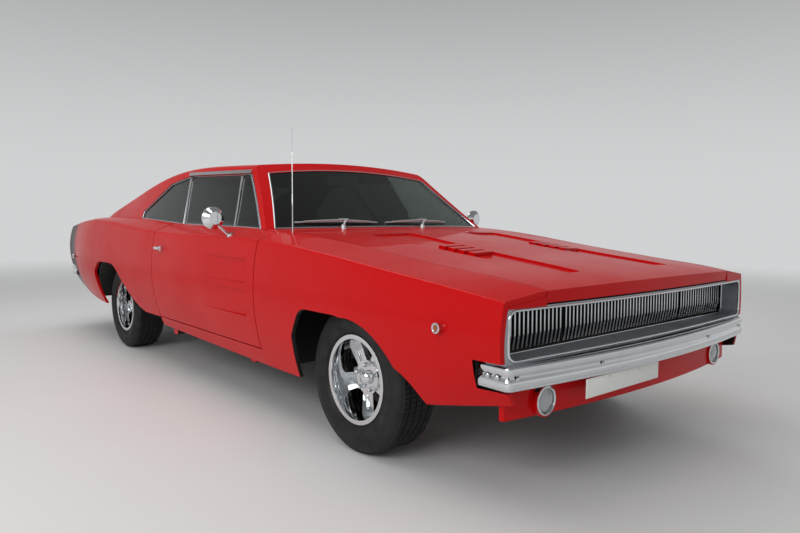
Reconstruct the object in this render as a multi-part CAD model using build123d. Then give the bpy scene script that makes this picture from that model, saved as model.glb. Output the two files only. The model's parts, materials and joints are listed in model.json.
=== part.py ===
from build123d import *
import os
from collections import namedtuple
from math import atan2, cos, degrees, radians, sin

os.makedirs("parts", exist_ok=True)

# A full-size two-door fastback muscle car of the late 1960s.
# Millimetres: +X is forward, +Y is the car's left, +Z is up, and z = 0 is the road.

# ---- chassis ----
FRONT_AXLE_X = 1686
REAR_AXLE_X = -1286
FRONT_TRACK = 1510
REAR_TRACK = 1504
TYRE_R = 320
TYRE_W = 222
RIM_R = 182
RIM_W = 190
DISH_DEPTH = 74
HUB_SEAT = 26.3
KINGPIN_Y = 660
STEER_LOCK = 30
SKIN = 20
GAP = 6

# ---- body lengths ----
OVERALL_HALF = 2641.5
NOSE_CORNER_X = 2552
NOSE_CORNER_Y = 905
NOSE_BOW = 40
TAIL_CORNER_X = -2560
TAIL_BOW = 34
DOOR_FRONT_X = 980
DOOR_REAR_X = -390
DOOR_BOTTOM_Z = 352
DOOR_INNER_Y = 782
DOOR_TAPER = 16
PILLAR_FOOT_X = 780
PILLAR_FOOT_Y = 818
HINGE_Y = 964
HOOD_REAR_X = 1060
HOOD_REAR_Y = 742
HOOD_FRONT_Y = 688
HOOD_THICK = 28
LIP_Z = 733
LIP_THICK = 26
LID_FRONT_X = -2042
LID_REAR_X = -2535
LID_Y = 690
FLOOR_Z = 250
FLOOR_T = 16
FIREWALL_X = 1010

# ---- body sections, from nose to tail ----
Station = namedtuple("Station", "x sill_y sill_z mid_y mid_z shoulder_y shoulder_z shoulder_r "
                                "belt_y belt_z crown_z")
BODY_STATIONS = [
    Station(2690, 835, 420, 902, 600, 888, 726, 12, 690, 742, 752),
    Station(2200, 868, 330, 934, 622, 914, 794, 14, 720, 818, 838),
    Station(1686, 880, 270, 950, 646, 926, 850, 16, 745, 874, 893),
    Station(1000, 878, 262, 954, 652, 924, 899, 20, 800, 942, 955),
    Station(300, 876, 274, 958, 656, 926, 904, 24, 812, 956, 972),
    Station(-390, 880, 290, 960, 660, 934, 908, 30, 812, 966, 985),
    Station(-1286, 885, 300, 972, 676, 930, 958, 40, 800, 996, 1000),
    Station(-1950, 866, 320, 960, 700, 905, 968, 40, 760, 990, 996),
    Station(-2690, 744, 325, 908, 735, 868, 896, 30, 700, 926, 934)]

# ---- greenhouse sections ----
Hoop = namedtuple("Hoop", "x base_y edge_y edge_z edge_r crown_z")
HOOP_BASE_Z = 900
HOOPS = [
    Hoop(1050, 834, 632, 1296, 50, 1322),
    Hoop(400, 838, 644, 1312, 50, 1350),
    Hoop(-100, 838, 650, 1328, 50, 1364),
    Hoop(-450, 838, 650, 1326, 50, 1358),
    Hoop(-860, 834, 656, 1288, 46, 1316),
    Hoop(-1270, 824, 668, 1206, 40, 1228),
    Hoop(-1740, 802, 688, 1088, 26, 1100),
    Hoop(-2040, 782, 703, 1004, 14, 1009)]
PILLAR = 46
GLASS_T = 6
GLASS_INSET = 10
TUNNEL_Y = 560

# ---- windscreen, as its two lower and upper corners ----
SCREEN_LOW = (865, 807, 946)
SCREEN_TOP = (450, 632, 1301)
SCREEN_BOW = (100, 56)
REAR_GLASS_TOP = (-925, 1296)
REAR_GLASS_LOW = (-1500, 990)

# ---- door scallops and bonnet valleys ----
SCALLOP_REAR_X = 380
SCALLOP_FRONT_X = 905
SCALLOP_DEPTH = 12
SCALLOP_BANDS = ((508, 640), (678, 800))
VALLEY_DEPTH = 9
VALLEY_REAR_X = 1300
VALLEY_FRONT_X = 2420
VALLEY_Y = (190, 470)
LOUVRE_X = 1720
LOUVRE_SIZE = (250, 120, 16)

# ---- grille and headlamps ----
GRILLE_TOP_Z = 712
GRILLE_LOW_Z = 554
GRILLE_X = 2452
GRILLE_T = 14
BAR_PITCH = 24
BAR_W = 7
BAR_PROUD = 12
BAR_KINK_Z = 610
BAR_LEAN = 9
GRILLE_Y = 866
LAMP_DOOR_Y0 = 452
LAMP_AXIS_BACK = 78
LAMP_R = 56
LAMP_SWEEP_R = 123
LAMP_OFFSETS = (-85, 85)

BUMPER_LOW_Z = 452
BUMPER_TOP_Z = 538
BUMPER_END_X = 2574
BUMPER_END_Y = 891
BUMPER_T = 36
BUMPER_WRAP_X = 2440
BUMPER_CORNER_R = 26
BUMPER_EDGE_R = 12
TRAY_DEPTH = 10
TRAY_SETBACK = 22
REAR_BUMPER_RISE = 22


def box(x0, x1, y0, y1, z0, z1):
    """A box between two corners."""
    return Pos((x0 + x1) / 2, (y0 + y1) / 2, (z0 + z1) / 2) * Box(x1 - x0, y1 - y0, z1 - z0)


def side_prism(points, y0, y1):
    """A polygon in the XZ plane drawn out from y0 to y1."""
    face = make_face(Polyline(*[(x, y0, z) for x, z in points], close=True))
    return extrude(face, amount=y1 - y0, dir=(0, 1, 0))


def plan_prism(points, z0, z1):
    """A polygon in the XY plane drawn up from z0 to z1."""
    face = make_face(Polyline(*[(x, y, z0) for x, y in points], close=True))
    return extrude(face, amount=z1 - z0, dir=(0, 0, 1))


def both(shape):
    """A shape and its mirror twin."""
    return shape + mirror(shape, about=Plane.XZ)


def body_section(s, inset):
    """One closed section of the lower body, made of lines and arcs."""
    def at(y, z):
        return Vector(s.x, y, z)

    def flank(sign):
        sill = at(sign * (s.sill_y - inset), s.sill_z)
        mid = at(sign * (s.mid_y - inset), s.mid_z)
        shoulder = at(sign * (s.shoulder_y - inset), s.shoulder_z - inset)
        belt = at(sign * (s.belt_y - inset), s.belt_z - inset)
        edges = [Edge.make_tangent_arc(mid, Vector(0, 0, -1), sill),
                 Edge.make_tangent_arc(mid, Vector(0, 0, 1), shoulder),
                 Edge.make_line(shoulder, belt)]
        return edges, sill, belt, shoulder

    left, left_sill, left_belt, left_shoulder = flank(1)
    right, right_sill, right_belt, right_shoulder = flank(-1)
    roof = Edge.make_three_point_arc(left_belt, at(0, s.crown_z - inset), right_belt)
    if inset:
        low_left = at(s.sill_y - inset, 100)
        low_right = at(inset - s.sill_y, 100)
        floor = [Edge.make_line(left_sill, low_left), Edge.make_line(low_left, low_right),
                 Edge.make_line(low_right, right_sill)]
    else:
        floor = [Edge.make_line(left_sill, right_sill)]
    face = Face(Wire(left + right + [roof] + floor))
    corners = [v for v in face.vertices()
               if min((Vector(*v) - left_shoulder).length, (Vector(*v) - right_shoulder).length) < 0.01]
    return face.fillet_2d(max(4, s.shoulder_r - inset * 0.4), corners)


def hoop_section(h, inset):
    """One closed section of the greenhouse."""
    def at(y, z):
        return Vector(h.x, y, z)

    base = h.base_y - inset
    edge = h.edge_y - inset
    top = h.edge_z - inset
    left, right = at(edge, top), at(-edge, top)
    wire = Wire([Edge.make_line(at(-base, HOOP_BASE_Z), at(base, HOOP_BASE_Z)),
                 Edge.make_line(at(base, HOOP_BASE_Z), left),
                 Edge.make_three_point_arc(left, at(0, h.crown_z - inset), right),
                 Edge.make_line(right, at(-base, HOOP_BASE_Z))])
    face = Face(wire)
    corners = [v for v in face.vertices()
               if min((Vector(*v) - left).length, (Vector(*v) - right).length) < 0.01]
    return face.fillet_2d(max(6, h.edge_r - inset * 0.5), corners)


def arc_zone(x, half_y, bow, z0, z1, reach):
    """Everything beyond a vertical wall that bows in plan, out to reach."""
    arc = Edge.make_three_point_arc((x, -half_y, z0), (x + bow, 0, z0), (x, half_y, z0))
    rest = Polyline((x, half_y, z0), (x, 1400, z0), (reach, 1400, z0), (reach, -1400, z0),
                    (x, -1400, z0), (x, -half_y, z0))
    return extrude(make_face([arc] + list(rest.edges())), amount=z1 - z0, dir=(0, 0, 1))


def screen_zone():
    """Everything ahead of the windscreen's outer surface."""
    def plan(z):
        t = (z - SCREEN_LOW[2]) / (SCREEN_TOP[2] - SCREEN_LOW[2])
        x, y = (a + (b - a) * t for a, b in zip(SCREEN_LOW[:2], SCREEN_TOP[:2]))
        bow = SCREEN_BOW[0] + (SCREEN_BOW[1] - SCREEN_BOW[0]) * t
        arc = Edge.make_three_point_arc((x, -y, z), (x + bow, 0, z), (x, y, z))
        rest = Polyline((x, y, z), (x, 1500, z), (2500, 1500, z), (2500, -1500, z), (x, -1500, z),
                        (x, -y, z))
        return make_face([arc] + list(rest.edges()))

    return loft([plan(850), plan(1430)], ruled=True)


BODY = loft([body_section(s, 0) for s in BODY_STATIONS])
INNER = loft([body_section(s, SKIN) for s in BODY_STATIONS])
GREEN = loft([hoop_section(h, 0) for h in HOOPS])
GREEN_IN = loft([hoop_section(h, PILLAR) for h in HOOPS])
GLASS_OUT = loft([hoop_section(h, GLASS_INSET) for h in HOOPS])
GLASS_IN = loft([hoop_section(h, GLASS_INSET + GLASS_T) for h in HOOPS])
NOSE = arc_zone(NOSE_CORNER_X, NOSE_CORNER_Y, NOSE_BOW, 0, 1200, 3200)
TAIL = mirror(arc_zone(-TAIL_CORNER_X, NOSE_CORNER_Y, TAIL_BOW, 0, 1200, 3200), about=Plane.YZ)
SCREEN = screen_zone()
BODY = BODY - NOSE - TAIL
SHELL = BODY - INNER
GREEN_FREE = box(-3000, 3000, -1200, 1200, 0, 1500)


def hood_plan(grow, z0, z1):
    """The hood's outline in plan, grown sideways and to the rear."""
    return plan_prism([(HOOD_REAR_X - grow, HOOD_REAR_Y + grow), (3000, HOOD_FRONT_Y - 12 + grow),
                       (3000, 12 - HOOD_FRONT_Y - grow), (HOOD_REAR_X - grow, -HOOD_REAR_Y - grow)],
                      z0, z1)


FRONT_ARCH = [(1290, 150), (1312, 470), (1400, 607), (1700, 607), (2100, 410), (2290, 150)]
REAR_ARCH = [(-1600, 150), (-1650, 560), (-1500, 655), (-1150, 655), (-800, 385), (-420, 270),
             (-420, 150)]
FRONT_ARCH_R = (0, 60, 90, 170, 220, 0)
REAR_ARCH_R = (0, 60, 130, 240, 500, 0, 0)


def arch(points, radii):
    """A wheel opening: a polygon with its corners rounded, through one flank."""
    face = make_face(Polyline(*[(x, 700, z) for x, z in points], close=True))
    for (x, z), r in zip(points, radii):
        if r:
            corner = [v for v in face.vertices() if abs(v.X - x) < 0.01 and abs(v.Z - z) < 0.01]
            face = fillet(corner, radius=r)
    return extrude(face, amount=400, dir=(0, 1, 0))


FRONT_OPENING = arch(FRONT_ARCH, FRONT_ARCH_R)
REAR_OPENING = arch(REAR_ARCH, REAR_ARCH_R)

made = {}


def keep(name, shape):
    """Store one finished piece under its node name."""
    made[name] = shape
    return shape


def keep_pair(name, left):
    """Store a left piece and its mirror twin."""
    keep(name + "_left", left)
    keep(name + "_right", mirror(left, about=Plane.XZ))


# ---- outer panels ----
def bumper(grow):
    """The front bumper bar: a bowed face whose ends wrap back along the wings."""
    outer = box(BUMPER_WRAP_X - grow, OVERALL_HALF, -BUMPER_END_Y - grow, BUMPER_END_Y + grow,
                BUMPER_LOW_Z - grow, BUMPER_TOP_Z + grow)
    if grow:
        return outer
    bow = OVERALL_HALF - BUMPER_END_X
    outer -= arc_zone(BUMPER_END_X, BUMPER_END_Y, bow, 0, 900, 3200)
    inner = box(BUMPER_WRAP_X - 1, OVERALL_HALF, BUMPER_T - BUMPER_END_Y, BUMPER_END_Y - BUMPER_T,
                BUMPER_LOW_Z, BUMPER_TOP_Z)
    inner -= arc_zone(BUMPER_END_X - BUMPER_T, BUMPER_END_Y, bow, 0, 900, 3200)
    corners = outer.edges().filter_by(Axis.Z).group_by(Axis.X)[-1]
    outer = fillet(corners, BUMPER_CORNER_R)
    front = outer.edges().filter_by(GeomType.CIRCLE).filter_by(lambda e: e.length > 1000)
    bar = fillet(front, BUMPER_EDGE_R) - inner
    tray = box(0, OVERALL_HALF, 40 - BUMPER_END_Y, BUMPER_END_Y - 40, BUMPER_TOP_Z - TRAY_DEPTH,
               BUMPER_TOP_Z)
    tray -= arc_zone(BUMPER_END_X - TRAY_SETBACK, BUMPER_END_Y, bow, 0, 900, 3200)
    return bar - tray


def scallops_left():
    """Two stacked hollows in the door, deepest at their sharp front edge."""
    lean = degrees(SCALLOP_DEPTH / (SCALLOP_FRONT_X - SCALLOP_REAR_X))
    pivot = Pos(SCALLOP_REAR_X, HINGE_Y, 0)
    leaned = pivot * Rot(0, 0, -lean) * pivot.inverse() * BODY
    hollows = Part()
    for low, high in SCALLOP_BANDS:
        band = box(SCALLOP_REAR_X, SCALLOP_FRONT_X, 850, 1100, low, high)
        hollows += fillet(band.edges().filter_by(Axis.Y), 30)
    return hollows - leaned


def bonnet_valleys():
    """Two long hollows pressed into the bonnet, tapering towards the nose."""
    inner, outer = VALLEY_Y
    plan = plan_prism([(VALLEY_REAR_X, inner), (VALLEY_REAR_X, outer), (VALLEY_FRONT_X, outer - 60),
                       (VALLEY_FRONT_X, inner + 90)], 600, 1100)
    plan = fillet(plan.edges().filter_by(Axis.Z), 24)
    return both(plan) - Pos(0, 0, -VALLEY_DEPTH) * BODY


def louvres():
    """A short finned scoop standing in each bonnet valley."""
    length, width, height = LOUVRE_SIZE
    middle = sum(VALLEY_Y) / 2
    fins = Part()
    for i in range(4):
        x = LOUVRE_X + i * length / 4
        fins += side_prism([(x, 820), (x + 40, 820), (x + 40, 926), (x, 926)],
                           middle - width / 2, middle + width / 2)
    crest = Pos(0, 0, height - VALLEY_DEPTH) * BODY
    return both(fins) & crest


def fender_left():
    """Front wing from the door gap to the nose, open at its wheel arch."""
    wing = SHELL & box(DOOR_FRONT_X + GAP / 2, 2700, 0, 1100, 200, 1100)
    wing -= hood_plan(GAP, 600, 1100)
    wing -= box(900, HOOD_REAR_X - GAP + 0.01, 0, HOOD_REAR_Y + GAP, 600, 1100)
    sweep = Pos(GRILLE_X - LAMP_AXIS_BACK, 660, (GRILLE_TOP_Z + GRILLE_LOW_Z) / 2)
    wing -= sweep * Rot(90, 0, 0) * Cylinder(LAMP_SWEEP_R, 2 * (GRILLE_Y + GAP - 660))
    return wing - FRONT_OPENING - bumper(GAP)


def quarter_left():
    """Rear quarter from the door gap to the tail, with the deep trim wall beside the seat."""
    wall = SHELL & box(-2700, DOOR_REAR_X - GAP / 2, 0, 1100, 200, 1100)
    wall += BODY & box(-860, DOOR_REAR_X - GAP / 2, DOOR_INNER_Y, 1100, DOOR_BOTTOM_Z, 1100)
    wall -= box(-2700, -300, 0, LID_Y + GAP, 600, 1100)
    wall -= box(-1100, -300, 0, DOOR_INNER_Y, 200, 1100)
    wall -= box(-700, 0, 0, 1100, 200, DOOR_BOTTOM_Z - GAP)
    rear_bumper = Pos(0, 0, REAR_BUMPER_RISE) * mirror(bumper(GAP), about=Plane.YZ)
    return wall - REAR_OPENING - rear_bumper


def door_left():
    """Door shell with its rear edge tapering forward on the inside."""
    front = DOOR_FRONT_X - GAP / 2
    rear = DOOR_REAR_X + GAP / 2
    outline = plan_prism([(front, 1100), (front, PILLAR_FOOT_Y), (PILLAR_FOOT_X, PILLAR_FOOT_Y),
                          (PILLAR_FOOT_X, DOOR_INNER_Y), (rear + DOOR_TAPER, DOOR_INNER_Y),
                          (rear, 945), (rear, 1100)],
                         DOOR_BOTTOM_Z, 1100)
    return (BODY & outline) - scallops_left()


def hood():
    """The bonnet: one skin with a rolled front lip."""
    skin = (BODY - Pos(0, 0, -HOOD_THICK + SKIN) * INNER) & hood_plan(0, 600, 1100)
    lip = BODY & hood_plan(0, LIP_Z, 1100)
    lip &= Pos(-LIP_THICK, 0, 0) * NOSE
    skin = (skin & box(0, 3000, -1000, 1000, LIP_Z, 1100)) - bonnet_valleys()
    return skin + (louvres() - Pos(0, 0, SKIN - HOOD_THICK) * INNER) + lip


def boot_lid():
    """The boot lid, from the deck to the tail."""
    return SHELL & box(-2700, LID_FRONT_X - GAP / 2, -LID_Y, LID_Y, 880, 1100)


SIDE_WINDOW = [(869, 900), (445, 1262), (-420, 1280), (-720, 1236), (-1070, 1042), (-1020, 900)]
GLASS_SPLIT = [(-431, 1290), (-205, 930)]
BUTTRESS_X = -1100


def roof():
    """Roof skin, windscreen pillars and the long rear buttresses, with every window cut."""
    shell = GREEN - (GREEN_IN & box(BUTTRESS_X, 1100, -1000, 1000, 850, 1400))
    (top_x, top_z), (low_x, low_z) = REAR_GLASS_TOP, REAR_GLASS_LOW
    shell -= side_prism([(top_x, 1500), (top_x, top_z), (low_x, low_z), (-2200, low_z),
                         (-2200, 1500)], -TUNNEL_Y, TUNNEL_Y)
    shell -= side_prism([(top_x, top_z), (low_x, low_z), (low_x, 850), (top_x, 850)],
                        -TUNNEL_Y, TUNNEL_Y)
    shell -= side_prism(SIDE_WINDOW, -1000, 1000)
    return shell - SCREEN - BODY


def side_glass(front):
    """One pane between the two glass surfaces: the door's or the quarter's."""
    (top_x, top_z), (low_x, low_z) = GLASS_SPLIT
    pane = (GLASS_OUT - GLASS_IN) & offset_window(4)
    cut = GAP if front else -GAP
    zone = side_prism([(top_x + cut, top_z), (low_x + cut, low_z), (low_x + cut, 850),
                       (1200 if front else -1300, 850), (1200 if front else -1300, top_z)], 0, 1000)
    return (pane & zone) - BODY


def offset_window(margin):
    """The side window's outline, drawn in by a margin."""
    face = make_face(Polyline(*[(x, 0, z) for x, z in SIDE_WINDOW], close=True))
    wire = offset(face, -margin)
    return extrude(wire, amount=1000, dir=(0, 1, 0))


def windscreen():
    """Bowed glass between the pillars."""
    zone = (Pos(-12, 0, 0) * SCREEN) - (Pos(-4, 0, 0) * SCREEN)
    return (GREEN_IN & zone) - BODY


def rear_window():
    """Flat glass at the back of the tunnel."""
    (top_x, top_z), (low_x, low_z) = REAR_GLASS_TOP, REAR_GLASS_LOW
    pane = side_prism([(top_x, top_z), (low_x, low_z), (low_x, low_z - 8), (top_x, top_z - 8)],
                      -TUNNEL_Y, TUNNEL_Y)
    return pane - BODY


keep("front_fenders", both(fender_left()))
keep("quarter_panels", both(quarter_left()))
keep_pair("door", door_left())
keep("hood", hood())
keep("boot_lid", boot_lid())
keep("roof", roof())
keep("windscreen", windscreen())
keep("rear_window", rear_window())
keep_pair("door_glass", side_glass(True))
keep("quarter_glass", both(side_glass(False)))
deck = SHELL & box(LID_FRONT_X + GAP / 2, -1010, -LID_Y - GAP, LID_Y + GAP, 900, 1100)
deck += both(SHELL & box(LID_FRONT_X - GAP / 2 + 0.3, LID_FRONT_X + GAP / 2 + 1, 180, 240, 900, 996))
keep("deck_panel", deck)
cowl = SHELL & box(PILLAR_FOOT_X + GAP, DOOR_FRONT_X + GAP / 2, -PILLAR_FOOT_Y + GAP,
                   PILLAR_FOOT_Y - GAP, 850, 1100)
cowl += SHELL & box(DOOR_FRONT_X, HOOD_REAR_X - GAP, -HOOD_REAR_Y - GAP, HOOD_REAR_Y + GAP, 850, 1100)
keep("cowl_panel", cowl)

# ---- front end ----
bumper_front = bumper(0)
keep("front_bumper", bumper_front)
keep("rear_bumper", Pos(0, 0, REAR_BUMPER_RISE) * mirror(bumper_front, about=Plane.YZ))


def valance(low_z, top_z, corner_x, half_y, bow):
    """A bowed apron below a bumper."""
    wall = arc_zone(corner_x - SKIN, half_y, bow, low_z, top_z, 3200)
    wall -= arc_zone(corner_x, half_y, bow, low_z, top_z, 3200)
    return wall & box(0, 3200, -half_y, half_y, low_z, top_z)


SIGNAL_Y = 650
SIGNAL_Z = 382
SIGNAL_R = 46
apron = valance(332, BUMPER_LOW_Z, 2500, 858, 74)
apron = (apron & INNER) - both(Pos(2520, SIGNAL_Y, SIGNAL_Z) * Rot(0, 90, 0) * Cylinder(SIGNAL_R, 200))
pod = Pos(2510, SIGNAL_Y, SIGNAL_Z) * Rot(0, 90, 0) * Cylinder(SIGNAL_R + 12, 70)
pod -= Pos(2530, SIGNAL_Y, SIGNAL_Z) * Rot(0, 90, 0) * Cylinder(SIGNAL_R, 120)
keep("front_valance", apron + both(pod))
MARKER_R = 17
signal = Pos(2520, SIGNAL_Y, SIGNAL_Z) * Rot(0, 90, 0) * Cylinder(SIGNAL_R, 34)
tail_apron = mirror(valance(340, BUMPER_LOW_Z + REAR_BUMPER_RISE, 2490, 800, 50), about=Plane.YZ)
keep("rear_valance", tail_apron & INNER)
PLATE_CENTER_Y = -267
plate = box(2616, 2619, PLATE_CENTER_Y - 252, PLATE_CENTER_Y + 252, 341, 451.7)
plates = plate + box(-2600, -2597, -152, 152, 372, 473.7)
plates += box(2590, 2616, PLATE_CENTER_Y - 40, PLATE_CENTER_Y + 40, 436, 451.7)
plates += box(-2630, -2597, -40, 40, 440, 473.7)
keep("plates", plates)

SURROUND_LOW_Z = 538
SURROUND_TOP_Z = 727
DUCT_MARGIN = 6
duct = box(GRILLE_X + BAR_PROUD + GAP, 2700, -GRILLE_Y - 40, GRILLE_Y + 40, SURROUND_LOW_Z,
           SURROUND_TOP_Z) & INNER
duct_in = box(GRILLE_X, 2700, -GRILLE_Y - DUCT_MARGIN, GRILLE_Y + DUCT_MARGIN,
              GRILLE_LOW_Z - DUCT_MARGIN, GRILLE_TOP_Z + DUCT_MARGIN)
duct_in = fillet(duct_in.edges().filter_by(Axis.X), 36)
keep("grille_surround", duct - duct_in - NOSE)


def slats(y0, y1, low, high):
    """Upright bars on a panel's face; the lower third leans back."""
    count = int((y1 - y0) / BAR_PITCH)
    start = (y0 + y1) / 2 - (count - 1) * BAR_PITCH / 2
    face, proud = GRILLE_X - 1, GRILLE_X + BAR_PROUD
    outline = [(face, low), (proud - BAR_LEAN, low), (proud, BAR_KINK_Z), (proud - 2, high),
               (face, high)]
    return [side_prism(outline, start + i * BAR_PITCH - BAR_W / 2, start + i * BAR_PITCH + BAR_W / 2)
            for i in range(count)]


center_half = LAMP_DOOR_Y0 - GAP
center = box(GRILLE_X - GRILLE_T, GRILLE_X, -center_half, center_half, GRILLE_LOW_Z, GRILLE_TOP_Z)
center += slats(-center_half, center_half, GRILLE_LOW_Z + 4, GRILLE_TOP_Z - 4)
for y in (-360, 360):
    center += box(2270, GRILLE_X - GRILLE_T, y - 12, y + 12, 600, 660)
keep("grille_center", center)
LAMP_AXIS_X = GRILLE_X - LAMP_AXIS_BACK
LAMP_AXIS_Z = (GRILLE_TOP_Z + GRILLE_LOW_Z) / 2


def lamp_door_left():
    """A slatted panel on two end arms, with a pivot pin in each arm."""
    low, high = GRILLE_LOW_Z + 1, GRILLE_TOP_Z - 1
    panel = box(GRILLE_X - GRILLE_T, GRILLE_X, LAMP_DOOR_Y0, GRILLE_Y, low, high)
    for y0, y1, pin_y in ((LAMP_DOOR_Y0 + 2, LAMP_DOOR_Y0 + 8, LAMP_DOOR_Y0 + 15),
                          (GRILLE_Y - 8, GRILLE_Y - 2, GRILLE_Y - 15)):
        arm = side_prism([(GRILLE_X - GRILLE_T, low + 20), (LAMP_AXIS_X, LAMP_AXIS_Z - 12),
                          (LAMP_AXIS_X - 12, LAMP_AXIS_Z), (LAMP_AXIS_X, LAMP_AXIS_Z + 12),
                          (GRILLE_X - GRILLE_T, high - 20)], y0, y1)
        pin_mid = (pin_y + (y0 + y1) / 2) / 2
        pin_len = abs(pin_y - (y0 + y1) / 2) + 4
        panel += arm + Pos(LAMP_AXIS_X, pin_mid, LAMP_AXIS_Z) * Rot(90, 0, 0) * Cylinder(5, pin_len)
    return panel + slats(LAMP_DOOR_Y0, GRILLE_Y, low + 3, high - 3)


keep_pair("headlamp_door", lamp_door_left())
bucket_y = (LAMP_DOOR_Y0 + GRILLE_Y) / 2
housing = box(LAMP_AXIS_X - 90, LAMP_AXIS_X - 80, LAMP_DOOR_Y0 + 14, GRILLE_Y - 14, 560, 700)
for y0 in (LAMP_DOOR_Y0 + 14, GRILLE_Y - 22):
    cheek = box(LAMP_AXIS_X - 82, LAMP_AXIS_X + 10, y0, y0 + 8, LAMP_AXIS_Z - 20, LAMP_AXIS_Z + 20)
    housing += cheek - Pos(LAMP_AXIS_X, y0, LAMP_AXIS_Z) * Rot(90, 0, 0) * Cylinder(5.3, 40)
for dy in LAMP_OFFSETS:
    housing += Pos(LAMP_AXIS_X - 38, bucket_y + dy, LAMP_AXIS_Z) * Rot(0, 90, 0) * Cylinder(LAMP_R, 92)
housing += box(2270, LAMP_AXIS_X - 82, LAMP_DOOR_Y0 + 40, LAMP_DOOR_Y0 + 90, 600, 660)
front_marker = (Pos(2290, 930, 636) * Rot(90, 0, 0) * Cylinder(MARKER_R, 40)) - BODY
keep("front_lamps", both(housing) + both(signal) + both(front_marker))
support = box(2256, 2270, -840, 840, 400, 735) & INNER
support -= box(2250, 2280, -330, 330, 430, 700)
for y in (-420, 420):
    support += Pos(2263, y, 770) * Cylinder(14, 120)
stops = box(2240, 2300, -500, 500, 700, 900)
support -= stops & Pos(0, 0, -0.3) * (GREEN_FREE - Pos(0, 0, SKIN - HOOD_THICK) * INNER)
keep("radiator_support", support + box(2200, 2256, -345, 345, 400, 715))

# ---- floor, firewall and boot ----
ROCKER_TOP_Z = DOOR_BOTTOM_Z - GAP
rocker = BODY & box(DOOR_REAR_X - GAP / 2, DOOR_FRONT_X + GAP / 2, 760, 1000, 200, ROCKER_TOP_Z)
floor = both(rocker)
floor += box(DOOR_REAR_X, FIREWALL_X, -765, 765, FLOOR_Z, FLOOR_Z + FLOOR_T)
floor += box(DOOR_REAR_X, FIREWALL_X, -126, 126, FLOOR_Z, 430)
floor -= box(DOOR_REAR_X - 20, FIREWALL_X + 20, -112, 112, 0, 416)
firewall = box(FIREWALL_X - 12, FIREWALL_X, -830, 830, FLOOR_Z, 960) & INNER
firewall -= box(FIREWALL_X - 20, FIREWALL_X + 20, -112, 112, 0, 416)
post = box(PILLAR_FOOT_X + GAP, DOOR_FRONT_X, 760, PILLAR_FOOT_Y - GAP, FLOOR_Z, 960) & INNER
floor += firewall + both(post)
for x in (-250, 800):
    floor += both(box(x - 30, x + 30, 800, 860, FLOOR_Z - 4, 300))
for z in (470, 780):
    floor += both(box(DOOR_FRONT_X - 2.7, DOOR_FRONT_X + 2.7, 790, 905, z, z + 70))
SEAT_PAN_Z = 360
BOOT_FLOOR_Z = 500
rear = box(DOOR_REAR_X - 14, DOOR_REAR_X, -765, 765, FLOOR_Z, SEAT_PAN_Z + 14)
rear += box(-1000, DOOR_REAR_X, -600, 600, SEAT_PAN_Z, SEAT_PAN_Z + 14)
rear += box(-1014, -1000, -600, 600, SEAT_PAN_Z, BOOT_FLOOR_Z + 14)
rear += box(-2500, -1000, -600, 600, BOOT_FLOOR_Z, BOOT_FLOOR_Z + 14)
rear += box(-2500, -1680, -840, 840, BOOT_FLOOR_Z, BOOT_FLOOR_Z + 14) & INNER
rear -= box(-1100, DOOR_REAR_X + 1, -60, 60, 0, SEAT_PAN_Z)
WHEELHOUSE_R = 372
house = Pos(REAR_AXLE_X, 800, TYRE_R) * Rot(90, 0, 0) * (
    Cylinder(WHEELHOUSE_R, 400) - Cylinder(WHEELHOUSE_R - 8, 400 - 16))
house -= box(-1700, -900, 640, 1010, 0, 1000) & Pos(REAR_AXLE_X, 900, TYRE_R) * Rot(90, 0, 0) * (
    Cylinder(WHEELHOUSE_R - 8, 600))
house = house & box(-1700, -900, 592, 1000, 360, 1000) & INNER
rear += both(house)
rear -= TAIL
keep("floor_pan", floor + rear)

RAIL_Y0 = 388
RAIL_Y1 = 452
rails = both(box(FIREWALL_X, 2256, RAIL_Y0, RAIL_Y1, 300, 372))
rails += box(1620, 1752, -RAIL_Y1, RAIL_Y1, 236, 300)
arm_z = 214
lower_arm = plan_prism([(1610, 440), (1762, 440), (1712, 640), (1712, 672), (1660, 672), (1660, 640)],
                       arm_z, arm_z + 24)
lower_arm += box(1640, 1732, 430, 452, arm_z, 300)
upper_arm = plan_prism([(1636, 440), (1736, 440), (1708, 640), (1708, 672), (1664, 672), (1664, 640)],
                       420, 438)
upper_arm += box(1640, 1732, RAIL_Y0, RAIL_Y1, 372, 438)
rails += both(lower_arm) + both(upper_arm)
aprons = both(box(FIREWALL_X, 2256, 462, 470, 372, 735)) & INNER
aprons += both(box(FIREWALL_X, 2256, RAIL_Y1 - 10, 470, 372, 380))
keep("front_frame", rails + aprons)


def axle_unit():
    """Rear axle tube with its differential, leaf springs and propeller shaft."""
    unit = Pos(REAR_AXLE_X, 0, TYRE_R) * Rot(90, 0, 0) * Cylinder(38, 2 * 690)
    unit += Pos(REAR_AXLE_X, 0, TYRE_R) * Rot(90, 0, 0) * Cylinder(118, 170)
    unit += Pos((REAR_AXLE_X + 440) / 2, 0, TYRE_R) * Rot(0, 90, 0) * Cylinder(32, 440 - REAR_AXLE_X)
    spring = box(-1980, -640, 545, 605, 266, 290)
    spring += box(REAR_AXLE_X - 60, REAR_AXLE_X + 60, 545, 605, 290, TYRE_R)
    spring += box(-1980, -1950, 545, 600, 290, BOOT_FLOOR_Z)
    spring += box(-670, -640, 545, 600, 290, SEAT_PAN_Z)
    drum = Pos(REAR_AXLE_X, 690, TYRE_R) * Rot(90, 0, 0) * Cylinder(128, 60)
    hub_y = REAR_TRACK / 2 + RIM_W / 2 - DISH_DEPTH - HUB_SEAT
    hub = Pos(REAR_AXLE_X, (660 + hub_y) / 2, TYRE_R) * Rot(90, 0, 0) * Cylinder(40, hub_y - 660)
    return unit + both(spring) + both(drum) + both(hub)


keep("rear_axle", axle_unit())


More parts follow.
